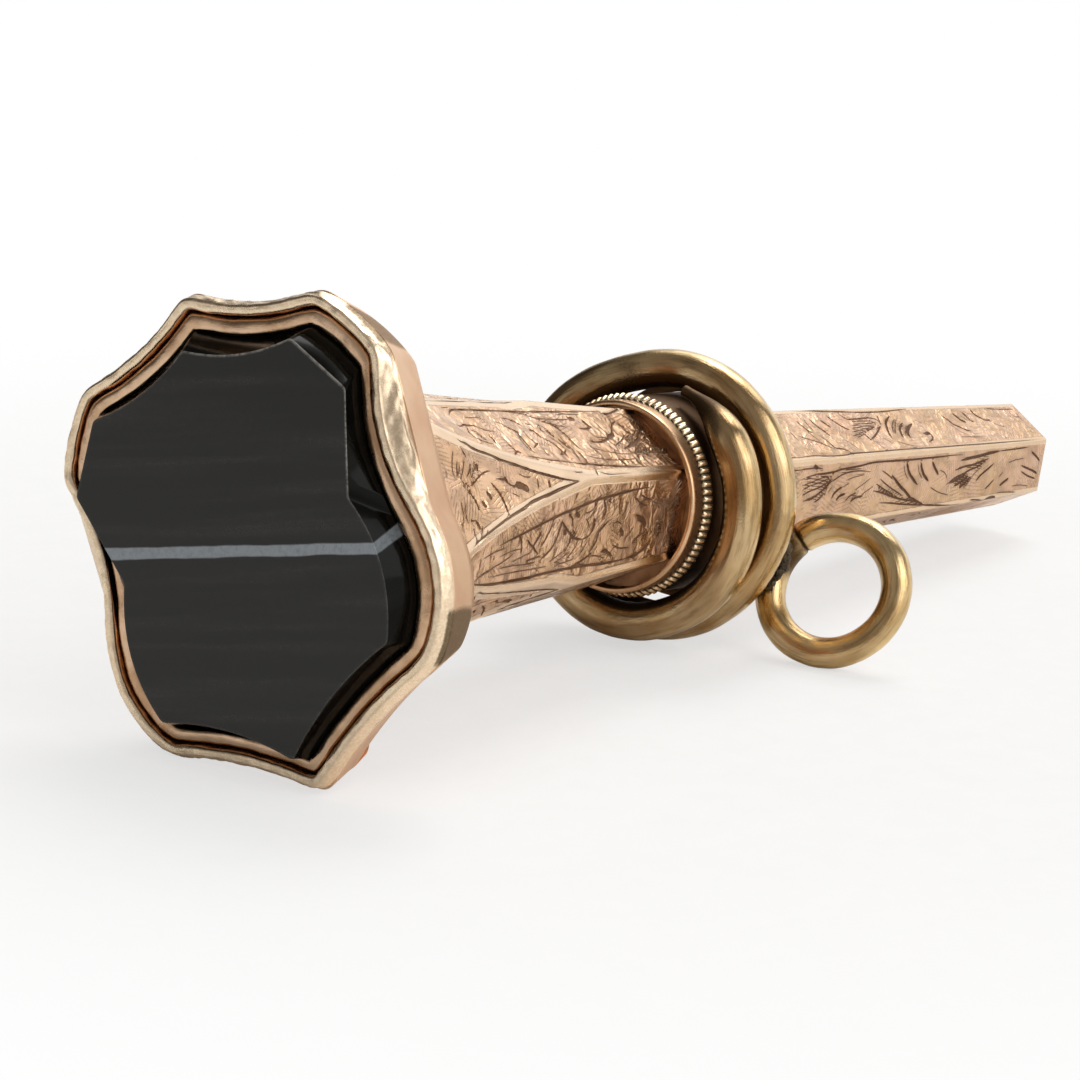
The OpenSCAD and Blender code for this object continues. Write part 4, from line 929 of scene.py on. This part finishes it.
def makeFrontStem():
    s = stemShape
    d = np.linspace(0, s["length"], s["rows"] + 1)
    facet, corner = facetAt(d), (cornerAt(d, 0), cornerAt(d, 1))
    third = math.tan(math.pi / 6)
    mainHalf = [np.minimum(facet * third, 2 * c - math.sqrt(3) * facet) - s["bevel"] for c in corner]
    cornerHalf = [2 * facet - math.sqrt(3) * c - s["bevel"] for c in corner]
    apex = int(np.argmax(cornerHalf[0] > 0.0))
    patterns = (facetLower(), facetUpper())
    cornerPattern = facetCorner()
    skin, quads, grids = {}, [], {"main": [], "corner": []}
    start = 0
    for k in range(6):
        for kind in ("corner", "main"):
            if kind == "corner":
                first, turn, columns, pattern = apex, 60 * k, s["cornerColumns"], cornerPattern
                low = high = cornerHalf[k % 2][first:, None]
                radius = corner[k % 2][first:, None]
            else:
                first, turn, columns, pattern = 0, 60 * k + 30, s["columns"], patterns[k % 2]
                low, high = mainHalf[k % 2][:, None], mainHalf[(k + 1) % 2][:, None]
                radius = facet[:, None]
            share = np.linspace(-1, 1, columns + 1)
            v = (high + low) * (share[None] + 1) / 2 - low
            squeeze = 1
            if kind == "corner":
                v[0] = 0
                squeeze = (cornerHalf[0][first:, None] + s["bevel"]) / (high + s["bevel"])
            z = np.repeat(station["stemEnd"] - d[first:, None], len(share), 1)
            along = np.repeat(s["length"] - d[first:, None], len(share), 1).ravel()
            gap, place = cutField(np.stack([along, (v * squeeze).ravel()], 1), pattern)
            edge = np.minimum(high - v, v + low).ravel()
            if kind == "main":
                edge = np.where(along < s["stripFrom"], edge + s["stripNarrower"], edge)
            sink = engravedDepth(gap, place, cutDepth["front"]).reshape(v.shape)
            shift = s["patternShift"] * len(quads)
            addPatch(skin, points=facetPoints(math.radians(turn), radius - sink, v, z).reshape(-1, 3),
                     cut=gap, cutPlace=place, ridge=edge,
                     place=np.stack([along, v.ravel(), np.full(v.size, shift)], 1))
            grids[kind].append(start + np.arange(v.size).reshape(v.shape))
            quads.append(gridFaces(grids[kind][-1]))
            start += v.size
    tips, ends = [], [[], []]
    for k in range(6):
        a, b = grids["main"][(k - 1) % 6][:, -1], grids["main"][k][:, 0]
        left, right = grids["corner"][k][:, 0], grids["corner"][k][:, -1]
        quads += [stripFaces(a[:apex + 1], b[:apex + 1]), stripFaces(a[apex:], left), stripFaces(right, b[apex:])]
        tips.append((a[apex], b[apex], left[0]))
        ends[0] += list(grids["main"][k][0])
        ends[1] += list(grids["corner"][k][-1]) + list(grids["main"][k][-1])
    layStem(skin, quads, tips + ends, "engravedFrontStem", "front_stem", stemGold)


def makeRearStem():
    size = {"length": 19.9, "base": 2.36, "tip": 1.8, "wall": 0.34, "boreShown": 0.7, "rows": 330, "columns": 36,
            "bevel": 0.03, "lip": 0.06, "lipDrop": 0.03, "patternShift": 7.0, "patternStart": 50}
    along = np.linspace(0, size["length"], size["rows"] + 1)
    cosine = math.cos(math.pi / 6)
    half = (size["base"] + (size["tip"] - size["base"]) * along / size["length"]) * cosine
    lip = rise(along, size["length"] - size["lip"], size["lip"])
    out = half - size["lipDrop"] * lip ** 2
    side = half * math.tan(math.pi / 6) - size["bevel"]
    share = np.linspace(-1, 1, size["columns"] + 1)
    patterns = (facetRearLower(), facetRearUpper())
    skin, quads, grids = {}, [], []
    start = 0
    for k in range(6):
        v = side[:, None] * share[None]
        x = np.repeat(along[:, None], len(share), 1)
        flip = -1 if k in (1, 3) else 1
        gap, place = cutField(np.stack([x.ravel(), v.ravel() * flip], 1), patterns[k % 2])
        sink = engravedDepth(gap, place, cutDepth["rear"]).reshape(v.shape)
        points = facetPoints(math.radians(60 * k + 30), out[:, None] - sink, v, x - size["length"])
        shift = size["patternShift"] * k + size["patternStart"]
        addPatch(skin, points=points.reshape(-1, 3), cut=gap, cutPlace=place,
                 place=np.stack([x.ravel(), v.ravel(), np.full(v.size, shift)], 1),
                 ridge=(side[:, None] - np.abs(v)).ravel())
        grids.append(start + np.arange(v.size).reshape(v.shape))
        quads.append(gridFaces(grids[k]))
        start += v.size
    for k in range(6):
        quads.append(stripFaces(grids[(k - 1) % 6][:, -1], grids[k][:, 0]))
    # the end face and the first of the bore behind it
    last = np.concatenate([g[-1] for g in grids])
    mouth = np.concatenate(skin["points"])[last]
    shrink = size["wall"] / (size["tip"] * cosine)
    for z in (0, -size["boreShown"]):
        ring = mouth * [1 - shrink, 1 - shrink, 0] + [0, 0, z]
        new = start + np.arange(len(ring))
        quads.append(np.stack([last, np.roll(last, -1), np.roll(new, -1), new], -1))
        addPatch(skin, points=ring, cut=np.full(len(ring), 0.3), cutPlace=np.tile([0.3, 0, 0], (len(ring), 1)),
                 place=ring, ridge=np.full(len(ring), 0.1))
        last = new
        start += len(ring)
    base = np.concatenate([g[0] for g in grids])
    layStem(skin, quads, [last, base], "engravedRearStem", "rear_stem", rearGold)


print("stems")
makeFrontStem()
makeRearStem()


def spunPiece(profile):
    # the profile, (radius, z) points in a closed loop, is spun round the stem
    clearSelection()
    bpy.ops.mesh.primitive_plane_add(size=0.01)
    piece = bpy.context.object
    bpy.ops.object.mode_set(mode="EDIT")
    bpy.ops.mesh.select_all(action="SELECT")
    bpy.ops.mesh.merge(type="CENTER")
    mesh = bmesh.from_edit_mesh(piece.data)
    mesh.verts.ensure_lookup_table()
    mesh.verts[0].co = (profile[0][0], 0, profile[0][1])
    bmesh.update_edit_mesh(piece.data)
    place = profile[0]
    for r, z in profile[1:] + [profile[0]]:
        bpy.ops.mesh.extrude_vertices_move(TRANSFORM_OT_translate={"value": (r - place[0], 0, z - place[1])})
        place = (r, z)
    bpy.ops.mesh.select_all(action="SELECT")
    bpy.ops.mesh.remove_doubles(threshold=0.0001)
    bpy.ops.mesh.select_all(action="SELECT")
    bpy.ops.mesh.spin(steps=144, angle=math.tau, center=(0, 0, 0), axis=(0, 0, 1))
    bpy.ops.object.mode_set(mode="OBJECT")
    tidyMesh(piece)
    return piece


def makeSleeve():
    # the lip is (radius, z behind the front)
    size = {"bore": 2.70, "drum": 2.868, "hub": 2.95, "hubFillet": 2.93, "darkBoreTo": 2.715, "wobble": 0.008,
            "lip": [(2.71, 0.015), (2.735, 0), (2.80, 0.005), (2.84, 0.03), (2.86, 0.08), (2.868, 0.15)]}
    front, back = station["sleeveFront"], station["flangeBack"]
    seat = station["bandBack"] + 0.02
    sleeve = spunPiece([(size["bore"], back), (size["bore"], front + 0.06)]
                       + [(r, front + z) for r, z in size["lip"]]
                       + [(size["drum"], seat), (size["hubFillet"], seat + 0.03), (size["hub"], seat + 0.15),
                          (size["hub"], back)])
    handWork(sleeve, size["wobble"], 0.8, 5)
    points = vertexArray(sleeve)
    # darker behind the front edge and in the bore: dirt and painted shade, which leaves the edge as a bright line
    behind = points[:, 2] - front
    dirtAndShade = rise(behind, 0.06, 0.1) * 0.45 + rise(behind, 0.4, 0.1) * 0.5
    inBore = np.hypot(points[:, 0], points[:, 1]) < size["darkBoreTo"]
    setAttribute(sleeve, "dirtAndShade", np.where(inBore, 1, dirtAndShade))
    layPiece(sleeve, "collarSleeve", "key", ["collar_sleeve"], collarGold, 40)


def makeMilledBand():
    # the slope is (share of the way from the sleeve to the ring, share of a tooth's height there)
    size = {"ribs": 86, "perRib": 8, "bore": 2.875, "front": -23.44, "back": -23.14, "backRadius": 3.01,
            "tooth": 0.066, "slope": [(0.04, 0.7), (0.12, 1), (0.4, 1), (0.7, 1), (0.88, 1), (0.96, 0.7), (1, 0)]}
    count = size["ribs"] * size["perRib"]
    lean = Vector((size["back"] - size["front"], size["bore"] - size["backRadius"])).normalized()
    clearSelection()
    bpy.ops.mesh.primitive_circle_add(vertices=count, radius=size["bore"], location=(0, 0, size["front"]))
    band = bpy.context.object
    bpy.ops.object.transform_apply(location=True)
    bpy.ops.object.mode_set(mode="EDIT")
    bpy.ops.mesh.select_all(action="SELECT")
    angles = np.arange(count) / count * math.tau
    wave = (0.5 - 0.5 * np.cos(angles * size["ribs"] + 0.5 * np.sin(angles * 9))) ** 0.6
    for t, share in size["slope"] + [("back", 0), ("front", 0)]:
        bpy.ops.mesh.extrude_edges_move()
        mesh = bmesh.from_edit_mesh(band.data)
        mesh.verts.ensure_lookup_table()
        height = size["tooth"] * share * wave
        if t in ("back", "front"):
            r, z = size["bore"] + 0 * angles, size[t] + 0 * angles
        else:
            r = size["bore"] + (size["backRadius"] - size["bore"]) * t + lean[0] * height
            z = size["front"] + (size["back"] - size["front"]) * t + lean[1] * height
        for v, a, rr, zz in zip(mesh.verts[-count:], angles, r, z):
            v.co = (rr * math.cos(a), rr * math.sin(a), zz)
        bmesh.update_edit_mesh(band.data)
    bpy.ops.object.mode_set(mode="OBJECT")
    tidyMesh(band, 0.0003)
    points = vertexArray(band)
    height = ((np.hypot(points[:, 0], points[:, 1]) - size["bore"]) * lean[0]
              + (points[:, 2] - size["front"]) * lean[1])
    # darker in the roots of the teeth: dirt and painted shade
    setAttribute(band, "dirtAndShade", np.clip(1.15 - height / 0.045, 0, 1))
    layPiece(band, "milledBand", "key", ["milled_band"], bandGold, 50)


def makeFlange():
    # the edge is (radius, distance from the face)
    size = {"bore": 2.96, "edge": [(3.24, 0), (3.29, 0.04), (3.3, 0.1)], "wobble": 0.008}
    front, back = station["flangeFront"], station["flangeBack"]
    flange = spunPiece([(size["bore"], back), (size["bore"], front)] + [(r, front + z) for r, z in size["edge"]]
                       + [(r, back - z) for r, z in size["edge"][::-1]])
    handWork(flange, size["wobble"], 0.9, 6)
    # darker towards its front face, between the wire's turns: dirt and painted shade
    setAttribute(flange, "dirtAndShade", fall(vertexArray(flange)[:, 2], back - 0.02, 0.2))
    layPiece(flange, "backFlange", "key", ["back_flange"], collarGold, 40)


print("collar")
makeSleeve()
makeMilledBand()
makeFlange()


def eased(t):
    t = max(0.0, min(1.0, t))
    return t * t * (3 - 2 * t)


def setStrand(piece, up, out, along, tarnishAndShade):
    # a place round and along the wire for its marks, and how far it is darkened by tarnish and painted shade
    turn = np.arctan2(up, out)
    setAttribute(piece, "strand", np.stack([1.6 * np.cos(turn), 1.6 * np.sin(turn), along * 0.35], 1))
    setAttribute(piece, "tarnishAndShade", tarnishAndShade)


def makeWireRing():
    # angles in degrees along the wire, which goes nearly twice round
    size = {"wire": 0.58, "radius": 3.79, "start": -47, "stepFrom": 232, "stepTo": 302, "end": 592, "points": 340,
            "lean": 0.5, "leanFrom": 375, "leanOver": 70, "thinEnd": 0.3, "tuckIn": 0.28, "tuckBack": 0.5,
            "flat": 0.12, "flatAt": 88, "dip": 0.2, "dipTo": 45, "wobble": 0.03}
    pitch = station["backTurn"] - station["frontTurn"]
    curve = bpy.data.curves.new("wireRing", "CURVE")
    curve.dimensions = "3D"
    curve.bevel_depth = size["wire"]
    curve.bevel_resolution = 10
    curve.use_fill_caps = True
    line = curve.splines.new("POLY")
    line.points.add(size["points"])
    path = []
    for i in range(size["points"] + 1):
        angle = size["start"] + (size["end"] - size["start"]) * i / size["points"]
        a = math.radians(angle)
        step = eased((angle - size["stepFrom"]) / (size["stepTo"] - size["stepFrom"]))
        z = station["frontTurn"] + pitch * step
        # the back turn leans on the front one under the stem
        z -= size["lean"] * eased((angle - size["leanFrom"]) / size["leanOver"]) * step
        # the first end is drawn thin and tucked under the crossing
        thin = size["thinEnd"] + (1 - size["thinEnd"]) * eased((angle - size["start"]) / 40)
        r = size["radius"] - size["tuckIn"] * (1 - eased((angle - size["start"]) / 50))
        z += size["tuckBack"] * (1 - eased((angle - size["start"]) / 45))
        r -= size["flat"] * math.exp(-((angle - size["flatAt"]) / 30) ** 2)
        z -= size["dip"] * (1 - eased((angle - size["dipTo"]) / 40))
        path.append((r * math.cos(a), r * math.sin(a), z))
        line.points[i].co = (*path[-1], 1)
        line.points[i].radius = thin * (1 - 0.5 * eased((angle - size["end"] + 14) / 14))
    ring = bpy.data.objects.new("wireRing", curve)
    bpy.context.collection.objects.link(ring)
    pickOnly(ring)
    bpy.ops.object.convert(target="MESH")
    ring = bpy.context.object
    ring.data.transform(Matrix.Translation(ringCentre))
    tidyMesh(ring)
    handWork(ring, size["wobble"], 1.6, 7)
    points = vertexArray(ring) - np.array(ringCentre)
    r, z = np.hypot(points[:, 0], points[:, 1]), points[:, 2]
    path = np.array(path)
    nearest = np.array([((path - p) ** 2).sum(1).argmin() for p in points])
    centre = path[nearest]
    up, out = z - centre[:, 2], r - np.hypot(centre[:, 0], centre[:, 1])
    # the seal-facing side of the wire is darkened: tarnish and painted shade
    setStrand(ring, up, out, nearest * 0.12, np.clip((-up / size["wire"] + 0.15) / 0.5, 0, 1) * 0.55)
    # darker between the turns and on the inside: dirt and painted shade; dirt at the bow's joint; painted shadow
    # over the tucked end
    between = 1 - np.clip(np.abs(z - (station["frontTurn"] + 0.62)) / 0.4, 0, 1)
    inside = fall(r, 3.5, 0.25)
    angle = np.degrees(np.arctan2(points[:, 1], points[:, 0]))
    joint = np.exp(-((angle - 52) / 9) ** 2) * np.clip((z - station["backTurn"]) / 0.3 + 0.4, 0, 1)
    tucked = fall(angle, -8, 24) * (angle > -70) * (z < station["frontTurn"] + 0.75)
    setAttribute(ring, "dirtAndShade", np.clip(np.maximum.reduce([between * 0.6, inside, joint, tucked]), 0, 1))
    layPiece(ring, "wireRing", "swivel", ["wire_ring"], wireGold, 60)


def makeBow():
    size = {"radius": 1.96, "wire": 0.46, "seamAt": 200, "seamDepth": 0.06, "wobble": 0.028,
            "fromStem": 5.6, "back": 1.4, "round": 48.4, "tilt": -25}
    clearSelection()
    bpy.ops.mesh.primitive_torus_add(major_radius=size["radius"], minor_radius=size["wire"],
                                     major_segments=220, minor_segments=40)
    bow = bpy.context.object
    points = vertexArray(bow)
    around = np.degrees(np.arctan2(points[:, 1], points[:, 0])) % 360
    # the two ends of the bent wire meet in a fine seam
    seam = np.exp(-((around - size["seamAt"]) / 1.6) ** 2)
    axis = np.stack([np.cos(np.radians(around)), np.sin(np.radians(around)), 0 * around], 1) * size["radius"]
    points = axis + (points - axis) * (1 - size["seamDepth"] / size["wire"] * seam)[:, None]
    bow.data.vertices.foreach_set("co", points.ravel())
    bow.data.update()
    handWork(bow, size["wobble"], 1.4, 9)
    joint = np.exp(-((around - 180) / 24) ** 2)
    along = ((around + 180) % 360 - 180) * math.pi / 180 * size["radius"]
    out = np.hypot(points[:, 0], points[:, 1]) - size["radius"]
    # the seal-facing side of the bow is darkened: tarnish and painted shade
    setStrand(bow, points[:, 2], out, along, np.clip((-points[:, 2] / size["wire"] - 0.2) / 0.5, 0, 1) * 0.35)
    # dark in the seam and at the joint: dirt and painted shade
    setAttribute(bow, "dirtAndShade", np.clip(seam + joint * 0.9, 0, 1))
    bow.data.transform(Matrix.Translation(ringCentre + Vector((0, 0, station["backTurn"] + size["back"])))
                       @ Matrix.Rotation(math.radians(size["round"]), 4, "Z")
                       @ Matrix.Translation((size["fromStem"], 0, 0))
                       @ Matrix.Rotation(math.radians(size["tilt"]), 4, "X"))
    layPiece(bow, "bowLoop", "swivel", ["bow_loop"], wireGold, 60)


def makeSolder():
    # drops of solder that ran together: (out from the stem, sideways, back from the ring), radius
    size = {"drops": [((4.0, 0.02, 0.70), 0.28), ((4.02, 0.28, 0.58), 0.24), ((4.02, -0.26, 0.58), 0.25),
                      ((3.96, 0.62, 0.50), 0.22), ((3.96, -0.60, 0.50), 0.24), ((3.84, 0.08, 0.95), 0.24),
                      ((3.82, 0.34, 0.86), 0.18), ((3.84, -0.3, 0.88), 0.19), ((3.86, 0.95, 0.44), 0.18),
                      ((3.86, -0.95, 0.44), 0.2), ((4.2, 0.1, 0.42), 0.18), ((4.18, -0.4, 0.38), 0.18),
                      ((4.16, 0.5, 0.36), 0.16), ((3.74, 1.2, 0.4), 0.12), ((3.74, -1.2, 0.4), 0.13)],
            "round": 49.5, "grid": 0.022, "lumps": 0.05, "crust": 0.02}
    place = (Matrix.Translation(ringCentre + Vector((0, 0, station["backTurn"])))
             @ Matrix.Rotation(math.radians(size["round"]), 4, "Z"))
    clearSelection()
    blobs = []
    for spot, radius in size["drops"]:
        bpy.ops.mesh.primitive_ico_sphere_add(subdivisions=4, radius=radius, location=place @ Vector(spot))
        blobs.append(bpy.context.object)
    for blob in blobs:
        blob.select_set(True)
    bpy.ops.object.join()
    solder = bpy.context.object
    bpy.ops.object.transform_apply(location=True, rotation=True, scale=True)
    solder.data.remesh_voxel_size = size["grid"]
    bpy.ops.object.voxel_remesh()
    handWork(solder, size["lumps"], 0.22, 11)
    handWork(solder, size["crust"], 0.07, 12)
    layPiece(solder, "bowSolder", "swivel", ["bow_solder"], solderCrust, 70)


print("swivel")
makeWireRing()
makeBow()
makeSolder()

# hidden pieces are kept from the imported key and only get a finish
keptFinish = {"stone_bearer": innerGold, "cement_bed": shellacBed, "collet_back": innerGold,
              "front_end_plate": innerGold, "spindle": innerGold, "collar_bush": innerGold,
              "rear_end_plate": innerGold, "winding_pipe": dullSteel, "tip_plate_ring": innerGold}
for node, finish in keptFinish.items():
    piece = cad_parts[node]
    piece.data.materials.clear()
    piece.data.materials.append(finish)


def makeTable():
    look = {"near": (0.84, 0.835, 0.82), "paper": (0.88, 0.88, 0.87), "size": 3.0, "middle": 0.02,
            "whiteFrom": 0.014, "whiteTo": 0.05, "whiteNear": 0.62}
    clearSelection()
    bpy.ops.mesh.primitive_plane_add(size=look["size"], location=(-look["middle"], 0, cadBox[0][2]))
    table = bpy.context.object
    table.name = "paleTable"
    bpy.ops.object.transform_apply(location=True, rotation=True, scale=True)
    finish = bpy.data.materials.new("paleTable")
    finish.use_nodes = True
    tree = finish.node_tree
    shader = tree.nodes["Principled BSDF"]
    shader.inputs["Roughness"].default_value = 0.75
    where = addNode(tree, "TexCoord", {}).outputs["Object"]
    dust = addNoise(tree, where, 900, 6, rough=0.65)
    soft = addNoise(tree, where, 60, 3)
    shade = addMix(tree, addRange(tree, dust, 0.3, 0.7), look["near"], look["paper"])
    shade = addMix(tree, addRange(tree, soft, 0.3, 0.8, 0, 0.3), shade, look["near"])
    tree.links.new(shade, shader.inputs["Base Color"])
    addBumps(tree, shader, [(dust, 0.00003, 0.25)])
    # away from the key the table runs out into the white background
    centred = addNode(tree, "Mapping", {"Location": (look["middle"], 0, 0), "Vector": where})
    reach = addLength(tree, centred.outputs["Vector"])
    white = addNode(tree, "Emission", {})
    light = addNode(tree, "LightPath", {})
    seen = times(tree, light.outputs["Is Camera Ray"],
                 addRange(tree, reach, look["whiteFrom"], look["whiteTo"], look["whiteNear"], 1))
    blend = addNode(tree, "MixShader", {0: seen, 1: shader.outputs["BSDF"], 2: white.outputs["Emission"]})
    tree.links.new(blend.outputs["Shader"], tree.nodes["Material Output"].inputs["Surface"])
    table.data.materials.append(finish)


def addLamp(name, where, aim, size, watts):
    lamp = bpy.data.lights.new(name, "AREA")
    lamp.energy = watts
    lamp.size = size
    holder = bpy.data.objects.new(name, lamp)
    bpy.context.collection.objects.link(holder)
    holder.location = where
    holder.rotation_euler = (Vector(aim) - Vector(where)).to_track_quat("-Z", "Y").to_euler()


def makeSky():
    # a white tent with a window, a softbox, a dark card and a dim front where the photographer stands:
    # way to look, how near that way it starts and is full, and its colour
    look = {"top": (0.30, 0.29, 0.27), "side": (1.0, 0.99, 0.97), "strength": 1.0}
    zones = {"window": ((-0.10, -0.87, 0.48), 0.75, 0.95, (1.35, 1.33, 1.3)),
             "softbox": ((0.63, 0.17, 0.76), 0.89, 0.95, (2.0, 1.97, 1.9)),
             "front": ((-0.93, -0.25, 0.26), 0.6, 0.9, (0.34, 0.32, 0.30)),
             "card": ((-0.10, 0.95, 0.28), 0.55, 0.8, (0.08, 0.07, 0.06))}
    world = bpy.data.worlds.new("paleTent")
    bpy.context.scene.world = world
    world.use_nodes = True
    tree = world.node_tree
    back = tree.nodes["Background"]
    way = addNode(tree, "TexCoord", {}).outputs["Generated"]
    tent = addMix(tree, addRange(tree, splitVector(tree, way)[2], 0.3, 0.72), look["side"], look["top"])
    for zoneWay, reachFrom, reachTo, glow in zones.values():
        facing = addNode(tree, "VectorMath", {0: way, 1: zoneWay}, operation="DOT_PRODUCT")
        tent = addMix(tree, addRange(tree, facing.outputs["Value"], reachFrom, reachTo), tent, glow)
    light = addNode(tree, "LightPath", {})
    tree.links.new(addMix(tree, light.outputs["Is Camera Ray"], tent, (1.0, 1.0, 1.0)), back.inputs["Color"])
    back.inputs["Strength"].default_value = look["strength"]


def makeCamera():
    # the photograph's view, in the key's own directions; the last two lengths are in pixels
    view = {"right": (0.77230, 0.26755, 0.57617), "down": (-0.27995, 0.95750, -0.06937),
            "ahead": (-0.57024, -0.10772, 0.81438), "spot": (2.207, -1.282, 118.181), "middle": 23.81,
            "film": 36, "focal": 4000, "picture": 1080}
    right, down, ahead, spot = (Vector(view[name]) for name in ("right", "down", "ahead", "spot"))
    turn = Matrix((right, -down, -ahead)).transposed().to_4x4()
    turn.translation = -(right * spot.x + down * spot.y + ahead * spot.z) - Vector((0, 0, view["middle"]))
    lens = bpy.data.cameras.new("photoView")
    lens.sensor_width = view["film"]
    lens.lens = view["focal"] / view["picture"] * view["film"]
    lens.clip_start = 0.001
    lens.clip_end = 20
    camera = bpy.data.objects.new("photoView", lens)
    bpy.context.collection.objects.link(camera)
    place = layTurn @ turn
    camera.matrix_world = Matrix.Translation(place.translation * 0.001) @ place.to_3x3().to_4x4()
    bpy.context.scene.camera = camera


makeTable()
makeCamera()
makeSky()
addLamp("keyLight", (0.04, -0.34, 0.29), (-0.02, 0, 0), 0.30, 0.4)
addLamp("topLight", (0.17, 0.05, 0.35), (-0.02, 0, 0), 0.16, 0.4)
bpy.context.scene.view_settings.view_transform = "Standard"
print("scene ready")
